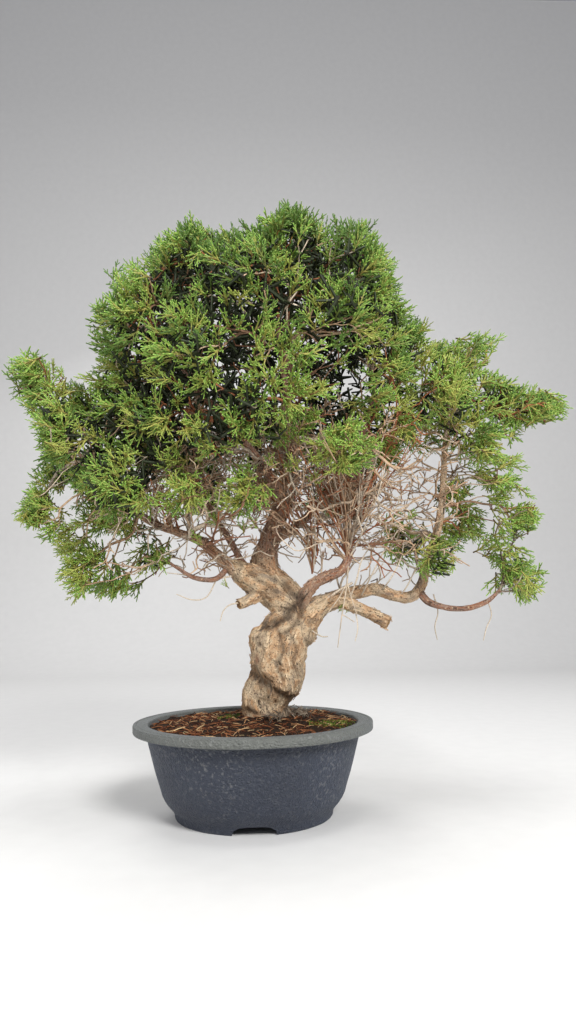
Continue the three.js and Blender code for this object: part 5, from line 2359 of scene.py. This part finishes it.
@dataclass
class Twigs:
    """Twigs grown from the limbs to every spray, and dead ends in the bare underside."""

    spacing: float = 9.0
    tip_radius: float = 0.66
    pipe: float = 2.6
    most: float = 2.5
    turn_cost: float = 0.85
    path_cost: float = 0.32
    limb_steps: int = 3
    dead_ends: int = 1250
    inner_ends: int = 200
    low_ends: int = 1140
    low_boxes: Sequence[tuple[Triple, Triple]] = (
        ((-150, -70, 236), (-15, 60, 300)), ((60, -60, 228), (220, 50, 300)),
        ((-40, -75, 262), (150, 40, 350)), ((30, -85, 290), (175, 30, 390)),
        ((-60, -75, 280), (120, 20, 370)), ((40, -80, 250), (160, 20, 350)),
    )
    strays: Sequence[Sequence[tuple[float, ...]]] = field(default_factory=lambda: STRAYS)
    fans: Sequence[Fan] = field(default_factory=lambda: FANS)

    def build(self, lines: Sequence[Line], names: Sequence[str], pads: Sequence[Pad],
              finish: Material) -> Object:
        """Grows the twigs and makes the piece.

        Args:
            lines: The limbs' lines.
            names: The limbs' names.
            pads: The pads with their sprays.
            finish: The twigs' material.

        Returns:
            The piece.
        """
        random = np.random.default_rng(SEED + 1)
        ends = [spray.base + spray.heading * 3 for pad in pads for spray in pad.sprays]
        ends += self.dead(random)
        self.grow(lines, names, np.array(ends), random)
        return settle(self.tubes(finish, random), Slot.WOOD)

    def dead(self, random: Random) -> list[np.ndarray]:
        """Draws the ends of dead twigs, in the bare mass under and inside the crown.

        Args:
            random: The stream of random numbers.

        Returns:
            The ends in mm.
        """
        ends = []
        while len(ends) < self.inner_ends:
            place = random.uniform((-150, -115, 320), (180, 115, 590))
            deep = (place - np.array((14, 0, 455))) / np.array((165, 122, 150))
            if 0.3 < np.linalg.norm(deep) < 1:
                ends.append(place)
        while len(ends) < self.dead_ends + self.inner_ends:
            place = random.uniform((-190, -100, 240), (240, 100, 400))
            across = math.hypot((place[0] - 25) / 215, place[1] / 105)
            if across < 1 and place[2] > 240 + 45 * across:
                ends.append(place)
        for count in range(self.low_ends):
            low, high = self.low_boxes[count % len(self.low_boxes)]
            ends.append(random.uniform(low, high))
        return ends

    def grow(self, lines: Sequence[Line], names: Sequence[str], ends: np.ndarray,
             random: Random) -> None:
        """Grows a path to every end from the best place of the wood so far.

        Args:
            lines: The limbs' lines.
            names: The limbs' names.
            ends: Places that the twigs reach for.
            random: The stream of random numbers.
        """
        carriers = [
            line for line, name in zip(lines, names)
            if "root" not in name and "stub" not in name and name != "trunk"
        ]
        places = np.vstack([line.places[::self.limb_steps] for line in carriers])
        first = len(places)
        gap = np.min(np.linalg.norm(ends[:, None] - places[None], axis=2), axis=1)
        ends = ends[np.argsort(gap)]
        room = first + int(gap.sum() / self.spacing * 2.2) + 12 * len(ends)
        place, way, cost = np.zeros((room, 3)), np.zeros((room, 3)), np.zeros(room)
        parent = np.full(room, -1)
        place[:first] = places
        way[:first] = np.vstack([line.ahead[::self.limb_steps] for line in carriers])
        count = first
        for end in ends:
            reach = end - place[:count]
            far = np.linalg.norm(reach, axis=1) + SMALL
            turn = (reach * way[:count]).sum(1) / far
            score = far * (1 + self.turn_cost * (1 - turn)) + self.path_cost * cost[:count]
            source = int(score.argmin())
            span = far[source]
            steps = max(2, math.ceil(span / self.spacing))
            aim = reach[source] / span * 0.7 + np.array([0, 0, 0.3]) + random.normal(0, 0.25, 3)
            out, into = way[source] * span * 0.7, aim * span * 0.8
            before = source
            for step in range(1, steps + 1):
                t = step / steps
                a, b = 2 * t ** 3 - 3 * t ** 2 + 1, t ** 3 - 2 * t ** 2 + t
                c, d = -2 * t ** 3 + 3 * t ** 2, t ** 3 - t ** 2
                spot = a * place[source] + b * out + c * end + d * into
                if step < steps:
                    spot = spot + random.normal(0, 0.7, 3)
                place[count] = spot
                step_way = spot - place[before]
                way[count] = step_way / (np.linalg.norm(step_way) + TINY)
                cost[count] = cost[before] + np.linalg.norm(step_way)
                parent[count] = before
                before = count
                count += 1
        self.place, self.parent, self.first = place[:count], parent[:count], first
        flow = np.zeros(count)
        has_child = np.zeros(count, bool)
        has_child[parent[first:count]] = True
        flow[first:][~has_child[first:]] = 1.0
        for node in range(count - 1, first - 1, -1):
            flow[parent[node]] += flow[node]
        self.girth = np.minimum(self.tip_radius * flow ** (1 / self.pipe), self.most)

    def tint_at(self, place: np.ndarray, random: Random) -> float:
        """Draws a twig's tint: grey to tan low down, brown in the crown, orange-red on the right.

        Args:
            place: Where the twig starts, in mm.
            random: The stream of random numbers.

        Returns:
            The tint.
        """
        if place[0] > 55 and place[2] > 340 and place[1] < 30:
            return random.choice([random.uniform(0.75, 1.0), random.uniform(0.15, 0.55)])
        if place[2] > 390:
            return random.uniform(0.35, 0.8)
        return random.uniform(0.02, 0.62)

    def tubes(self, finish: Material, random: Random) -> Object:
        """Turns the grown paths into runs of edges, and the edges into tubes.

        Args:
            finish: The twigs' material.
            random: The stream of random numbers.

        Returns:
            The piece.
        """
        children: dict[int, list[int]] = {}
        for node in range(self.first, len(self.place)):
            children.setdefault(int(self.parent[node]), []).append(node)
        starts = [(one, kid) for one, kids in children.items() if one < self.first for kid in kids]
        runs, tint_of = Runs(), {}
        while starts:
            source, node = starts.pop()
            tint = tint_of.get(source, self.tint_at(self.place[node], random))
            tint = float(np.clip(tint + random.normal(0, 0.12), 0, 1))
            run = [source, node]
            tint_of[node] = tint
            while kids := sorted(children.get(node, []), key=lambda kid: -self.girth[kid]):
                starts += [(node, kid) for kid in kids[1:]]
                node = kids[0]
                run.append(node)
                tint_of[node] = tint
            girths = [min(self.girth[run[1]] * 1.15, self.most), *self.girth[run[1:]]]
            runs.add(self.place[run], girths, tint)
        for stray in self.strays:
            line = smooth_line(Limb("stray", 0, stray), 4.0)
            runs.add(line.places, line.radii, 0.2)
        for twig, tint in [one for fan in self.fans for one in fan.lines(random)]:
            runs.add(twig[:, :3], twig[:, 3], tint)
        values = {"Sides": 3, "Material": finish}
        piece = grown_by(linked("twig_lines", runs.mesh()), TwigTubes(), values, "twigs")
        piece.data.shade_smooth()
        return piece


# Pot

@dataclass
class Pot:
    """The training pot: one lathe of its outer and inner sides, with the foot's notches cut out."""

    sides: int = 144
    profile: Sequence[tuple[float, float]] = (
        (12, 13.5), (60, 13.5), (78, 14.0), (82.6, 16.5), (86.4, 22.5), (89.6, 33), (94, 49),
        (98, 64),
        (101.2, 76), (102.6, 82.6), (105, 86.4), (105, 88.6), (105.8, 89.6), (107.4, 90),
        (114.6, 90),
        (115.4, 89.4), (116.2, 89.4), (116.9, 90), (118.6, 90), (119.6, 89.6), (120, 88.6),
        (120, 83),
        (119.6, 82), (118.6, 81.6), (108.4, 81.6), (107.3, 80.8), (105.6, 74), (102.1, 60.9),
        (99, 49.4),
        (96.8, 41.7), (94.2, 34), (91.7, 26.3), (90.6, 22.5), (88.6, 18.6), (86.1, 14.8),
        (82.6, 10.8),
        (80.4, 8.4), (79.6, 6.9), (78.4, 4.6), (78, 1), (77.4, 0.2), (76.6, 0), (73.4, 0),
        (72.7, 0.4),
        (72.5, 1.2), (72.5, 8.6), (71.6, 9.5), (12, 9.5),
    )
    notch_width: float = 42.0
    notch_height: float = 8.4
    notches: int = 3
    notch_start: float = 66.0
    notch_length: float = 26.0
    notch_steps: int = 8
    notch_below: float = 1.0
    sharp: float = 0.6

    def build(self, finish: Material) -> Object:
        """Makes the pot.

        Args:
            finish: The pot's material.

        Returns:
            The piece.
        """
        angles = np.arange(self.sides) * 2 * math.pi / self.sides
        corners = np.vstack([
            np.column_stack([r * np.cos(angles), r * np.sin(angles), np.full(self.sides, z)])
            for r, z in self.profile
        ])
        faces = []
        for ring in range(len(self.profile)):
            here, after = ring * self.sides, (ring + 1) % len(self.profile) * self.sides
            for k in range(self.sides):
                side = (k + 1) % self.sides
                faces.append([here + k, after + k, after + side, here + side])
        piece = linked("pot_body", mesh_of("pot_body", (corners + AXIS) * MM, faces))
        cutter = linked("pot_notches", self.notch_cutter())
        cut = piece.modifiers.new("notches", "BOOLEAN")
        cut.operation = "DIFFERENCE"
        cut.solver = "EXACT"
        cut.object = cutter
        piece = plain(piece, "pot_body")
        bpy.data.objects.remove(cutter)
        fix_normals(piece.data)
        smooth_by_angle(piece.data, self.sharp)
        piece.data.materials.clear()
        piece.data.materials.append(finish)
        return settle(piece, Slot.POT, "pot")

    def notch_cutter(self) -> Mesh:
        """Makes the arched wedges that the notches are cut with.

        Returns:
            Their mesh.
        """
        half = self.notch_width / 2
        arch = []
        for step in range(self.notch_steps + 1):
            wide = math.cos(math.pi * (1 - step / self.notch_steps))
            lift = (1 - abs(wide) ** 3.2) ** (1 / 2.2)
            arch.append((half * 0.97 * wide, self.notch_height * lift))
        outline = [(-half, -self.notch_below), *arch, (half, -self.notch_below)]
        count = len(outline)
        faces = [list(range(count))[::-1], [count + k for k in range(count)]]
        for k in range(count):
            side = (k + 1) % count
            faces.append([k, side, count + side, count + k])
        shells = []
        for number in range(self.notches):
            turn = -math.pi / 2 + number * 2 * math.pi / self.notches
            out = np.array([math.cos(turn), math.sin(turn), 0])
            side = np.array([-math.sin(turn), math.cos(turn), 0])
            start = out * self.notch_start
            near = np.array([start + side * x + np.array([0, 0, z]) for x, z in outline])
            shells.append((np.vstack([near, near + out * self.notch_length]), faces))
        corners, faces = joined(shells)
        mesh = mesh_of("pot_notches", (corners + AXIS) * MM, faces)
        fix_normals(mesh)
        return mesh


def fix_normals(mesh: Mesh) -> None:
    """Merges a mesh's doubles and turns its faces outwards.

    Args:
        mesh: The mesh, which is changed.
    """
    shape = bmesh.new()
    shape.from_mesh(mesh)
    bmesh.ops.remove_doubles(shape, verts=shape.verts, dist=SMALL)
    bmesh.ops.recalc_face_normals(shape, faces=shape.faces)
    shape.to_mesh(mesh)
    shape.free()


def smooth_by_angle(mesh: Mesh, angle: float) -> None:
    """Shades a mesh smooth, apart from its sharp edges.

    Args:
        mesh: The mesh, which is changed.
        angle: The angle in radians from which an edge is sharp.
    """
    mesh.shade_smooth()
    shape = bmesh.new()
    shape.from_mesh(mesh)
    for edge in shape.edges:
        if len(edge.link_faces) == 2 and edge.calc_face_angle(0) > angle:
            edge.smooth = False
    shape.to_mesh(mesh)
    shape.free()


# Soil

class Litter(GeometryTree):
    """The tree that strews loose bits over the soil: straws, needles and crumbs."""

    def __init__(self) -> None:
        """Builds the tree."""
        super().__init__("litter")
        ground = self.takes("Geometry", "Geometry")
        density, length, girth, tilt, lift, bow, seed = self.numbers(
            density=20000.0, length=0.008, girth=0.0005, tilt=0.35, lift=0.0006, bow=0.15, seed=0
        )
        finish = self.takes("Material", "Material")
        points, _ = self.scattered(ground, density, seed)
        index = self.add("GeometryNodeInputIndex")
        end = self.combined(X=length)
        line = self.resampled(self.line(Start=self.scaled(end, -0.5), End=self.scaled(end, 0.5)), 3)
        factor = self.add("GeometryNodeSplineParameter")
        arch = self.times(factor, self.minus(1.0, factor))
        arch = self.times(arch, self.times(length, bow))
        line = self.thickened(self.moved(line, self.combined(Z=arch)), girth)
        turn = self.random_vector((0.35, 0.35, 6.283), seed, index, low=(-0.35, -0.35, 0.0))
        lean = self.times(tilt, 2.8)
        turn = self.vector("MULTIPLY", turn, self.combined(X=lean, Y=lean, Z=1.0))
        raised = self.moved(points, self.combined(Z=lift))
        raised = self.store(raised, "tint", self.random(0.0, 1.0, seed, index, 7))
        litter = self.instanced(
            raised, self.swept(line), self.add("FunctionNodeEulerToRotation", {0: turn}),
            self.random(0.45, 1.3, seed, index, 3),
        )
        self.finished(litter, finish)


@dataclass
class Soil:
    """The soil's mound with its lumps, and the litter that lies on it."""

    edge_height: float = 86.5
    edge_radius: float = 103.4
    floor_radius: float = 77.0
    floor_height: float = 14.2
    mound_radius: float = 98.0
    mound_height: float = 11.0
    mound_power: float = 1.5
    lump: float = 0.9
    crumb: float = 1.3
    trunk: tuple[float, float] = (17, 6)
    rings: int = 50
    sides: int = 144
    strewn_radius: float = 102.0
    bare_edge: float = 3.0

    def height(self, x: float, y: float) -> float:
        """Works out the height of the soil's top at a place.

        Args:
            x: The place's x in mm.
            y: The place's y in mm.

        Returns:
            The height in mm.
        """
        away = math.hypot(x - self.trunk[0], y - self.trunk[1]) / self.mound_radius
        mound = self.mound_height * max(0.0, 1 - away) ** self.mound_power
        lumps = math.sin(x / 8.5) * math.cos(y / 8.5) + math.sin((x - y) / 16)
        crumbs = noise.fractal(Vector((x, y, 3.0)) / 9.0, 1.0, 2.1, 4)
        lumps = self.lump * lumps * min(1.0, away / 0.5)
        return self.edge_height + mound + lumps + self.crumb * crumbs

    def build(self, finish: Material) -> Object:
        """Makes the soil.

        Args:
            finish: The soil's material.

        Returns:
            The piece.
        """
        angles = np.arange(self.sides) * 2 * math.pi / self.sides
        corners = [(0.0, 0.0, self.height(0, 0))]
        for ring in range(1, self.rings + 1):
            radius = self.edge_radius * (ring / self.rings) ** 0.9
            for x, y in [(radius * math.cos(a), radius * math.sin(a)) for a in angles]:
                corners.append((x, y, self.height(x, y)))
        floor = zip(self.floor_radius * np.cos(angles), self.floor_radius * np.sin(angles))
        corners += [(x, y, self.floor_height) for x, y in floor]
        corners.append((0.0, 0.0, self.floor_height))
        sides = [(k, (k + 1) % self.sides) for k in range(self.sides)]
        faces = [[0, 1 + k, 1 + side] for k, side in sides]
        for ring in range(self.rings):
            a, b = 1 + ring * self.sides, 1 + (ring + 1) * self.sides
            faces += [[a + k, b + k, b + side, a + side] for k, side in sides]
        last = 1 + self.rings * self.sides
        faces += [[len(corners) - 1, last + side, last + k] for k, side in sides]
        mesh = mesh_of("soil_mound", (np.array(corners) + AXIS) * MM, faces)
        piece = linked("soil_mound", mesh)
        piece.data.materials.append(finish)
        return settle(piece, Slot.SOIL, "soil")

    def top(self, centre: tuple[float, float], radius: float) -> Object:
        """Makes a loose sheet over a round part of the soil's top, which the litter is strewn on.

        Args:
            centre: The part's middle.
            radius: Its radius.

        Returns:
            The sheet.
        """
        count = max(12, int(radius * 0.4))
        across, back = (np.linspace(at - radius, at + radius, count) for at in centre)
        corners = [(x, y, self.height(x, y)) for x in across for y in back]
        faces = []
        for i in range(count - 1):
            for j in range(count - 1):
                k = i * count + j
                middle = np.array(corners[k][:2]) + radius / count
                inside = np.linalg.norm(middle - centre) < radius
                if inside and np.linalg.norm(middle) < self.edge_radius - self.bare_edge:
                    faces.append([k, k + count, k + count + 1, k + 1])
        return linked("ground", mesh_of("ground", (np.array(corners) + AXIS) * MM, faces))

    def strew(self, name: str, values: dict[str, float], finish: Material,
              centre: tuple[float, float] = (0, 0), radius: float | None = None) -> Object:
        """Strews one kind of litter.

        Args:
            name: The piece's name.
            values: The litter tree's inputs.
            finish: The litter's material.
            centre: Middle of the part that it lies on.
            radius: Radius of that part, or none for the whole top.

        Returns:
            The piece.
        """
        ground = self.top(centre, radius or self.strewn_radius)
        piece = grown_by(ground, Litter(), {**values, "Material": finish}, name)
        piece.data.shade_smooth()
        return settle(piece, Slot.SOIL)


# Surroundings

@dataclass(frozen=True)
class Lamp:
    """A soft square light: its name, its place and side in metres and its power in watts."""

    name: str
    place: Triple
    size: float
    power: float

    def build(self, target: Triple) -> None:
        """Makes the light.

        Args:
            target: The place in metres that it faces.
        """
        lamp = bpy.data.lights.new(self.name, "AREA")
        lamp.shape = "SQUARE"
        lamp.size = self.size
        lamp.energy = self.power
        piece = bpy.data.objects.new(self.name, lamp)
        piece.location = self.place
        way = Vector(target) - Vector(self.place)
        piece.rotation_euler = way.to_track_quat("-Z", "Y").to_euler()
        bpy.context.scene.collection.objects.link(piece)


@dataclass
class Surroundings:
    """A plain pale floor that rises to a backdrop, and soft studio light. Lengths are metres."""

    half_width: float = 3.0
    front: float = -2.6
    back: float = 2.3
    cove: float = 0.6
    cove_steps: int = 12
    height: float = 3.2
    lamps: Sequence[Lamp] = (
        Lamp("key", (0.7, -1.65, 1.4), 0.7, 47.0), Lamp("fill", (-1.6, -1.0, 1.1), 1.4, 14.0),
        Lamp("back", (-0.7, 1.5, 2.1), 1.2, 18.0), Lamp("top", (0.1, -0.2, 2.3), 1.0, 21.0),
    )
    target: Triple = (0, 0, 0.35)
    sky: Colour = (0.9, 0.92, 1.0)
    sky_strength: float = 0.3

    def build(self, finish: Material) -> None:
        """Makes the floor with its backdrop, the lights and the world.

        Args:
            finish: The floor's material.
        """
        start = self.back - self.cove
        outline = [(self.front, 0.0), (start, 0.0)]
        for step in range(1, self.cove_steps + 1):
            a = step / self.cove_steps * math.pi / 2
            outline.append((start + self.cove * math.sin(a), self.cove - self.cove * math.cos(a)))
        outline.append((self.back, self.height))
        corners = [(x, y, z) for x in (-self.half_width, self.half_width) for y, z in outline]
        count = len(outline)
        faces = [[k, count + k, count + k + 1, k + 1] for k in range(count - 1)]
        floor = linked("floor", mesh_of("floor", np.array(corners), faces))
        floor.data.materials.append(finish)
        for lamp in self.lamps:
            lamp.build(self.target)
        world = bpy.data.worlds.new("studio")
        world.use_nodes = True
        background = world.node_tree.nodes["Background"]
        background.inputs["Color"].default_value = (*self.sky, 1.0)
        background.inputs["Strength"].default_value = self.sky_strength
        bpy.context.scene.world = world


@dataclass(frozen=True)
class Viewpoint:
    """The camera: its place from the pot's axis in mm, its turns in degrees and its lens in mm."""

    place: Triple = (0.0, -744.5, 191.8)
    pitch: float = 8.432
    yaw: float = 2.920
    roll: float = -0.867
    lens: float = 25.0
    sensor: float = 36.0
    nearest: float = 0.02

    def build(self) -> None:
        """Makes the camera and looks through it."""
        pitch, yaw, roll = (math.radians(a) for a in (self.pitch, self.yaw, self.roll))
        flat = math.cos(pitch)
        ahead = Vector((math.sin(yaw) * flat, math.cos(yaw) * flat, math.sin(pitch)))
        level = Vector((math.cos(yaw), -math.sin(yaw), 0))
        rise = level.cross(ahead)
        right = math.cos(roll) * level + math.sin(roll) * rise
        up = -math.sin(roll) * level + math.cos(roll) * rise
        data = bpy.data.cameras.new("viewpoint")
        data.lens = self.lens
        data.sensor_width = self.sensor
        data.sensor_fit = "AUTO"
        data.clip_start = self.nearest
        camera = bpy.data.objects.new("viewpoint", data)
        turn = Matrix((right, up, -ahead)).transposed().to_4x4()
        camera.matrix_world = Matrix.Translation(Vector((np.array(self.place) + AXIS) * MM)) @ turn
        bpy.context.scene.collection.objects.link(camera)
        bpy.context.scene.camera = camera


NEEDLES = {"Density": 44000.0, "Length": 0.009, "Girth": 0.00034, "Tilt": 0.45, "Seed": 3}
STRAWS = {"Density": 3000.0, "Length": 0.014, "Girth": 0.0006, "Lift": 0.001, "Seed": 8}
TUFTY = {"Density": 150000.0, "Length": 0.0036, "Girth": 0.00045, "Tilt": 1.3, "Lift": 0.0008}
WIRY = {
    "Density": 110000.0, "Length": 0.012, "Girth": 0.0004, "Tilt": 1.0, "Lift": 0.0035, "Bow": 0.5,
}
LITTER_STOPS = (
    (0.0, rgb(40, 28, 22)), (0.3, rgb(78, 46, 32)), (0.55, rgb(132, 78, 50)),
    (0.8, rgb(168, 112, 74)), (1.0, rgb(222, 194, 146)),
)
MOSS_STOPS = ((0.0, rgb(38, 54, 20)), (0.6, rgb(74, 96, 32)), (1.0, rgb(128, 140, 58)))
FUZZ_STOPS = ((0.0, rgb(70, 60, 52)), (1.0, rgb(168, 152, 132)))


def main() -> None:
    """Builds every part in order."""
    logging.basicConfig(level=logging.INFO, format="%(message)s")
    bpy.context.scene.view_settings.view_transform = "Standard"
    Viewpoint().build()
    Surroundings().build(PlainFinish("pale floor", 0.7, rgb(221, 220, 218)).material())
    bark = BarkFinish("old bark", 0.85).material()
    twig = TwigFinish("twig skin", 0.8).material()
    shoot = ShootFinish("scale leaf shoots", 0.55).material()
    wood = Wood()
    wood.build(bark)
    foliage = Foliage()
    pads = foliage.plan()
    foliage.build(shoot)
    Twigs().build(wood.lines(), [limb.name for limb in wood.limbs], pads, twig)
    Pot().build(PotFinish("slate plastic", 0.55).material())
    mesh_finish = PlainFinish("drainage plastic", 0.6, rgb(32, 38, 36)).material()
    for node in bpy.data.objects:
        if node.name == "drainage_mesh":
            node.data.materials.clear()
            node.data.materials.append(mesh_finish)
    soil = Soil()
    soil.build(SoilFinish("damp soil", 0.95).material())
    litter = TintFinish("needle litter", 0.9, LITTER_STOPS).material()
    moss = TintFinish("moss", 0.9, MOSS_STOPS).material()
    fuzz = TintFinish("root fuzz", 0.9, FUZZ_STOPS).material()
    soil.strew("needle_litter", NEEDLES, litter)
    soil.strew("straw_bits", STRAWS, litter)
    soil.strew("moss_right", {**TUFTY, "Seed": 4}, moss, (76, -34), 23.0)
    soil.strew("moss_left", {**TUFTY, "Seed": 6}, moss, (-24, 14), 13.0)
    soil.strew("root_fuzz", {**WIRY, "Seed": 11}, fuzz, (43, 0), 15.0)
    soil.strew("root_fuzz_front", {**WIRY, "Seed": 12}, fuzz, (20, -26), 10.0)
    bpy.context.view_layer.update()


if __name__ == "__main__":
    main()
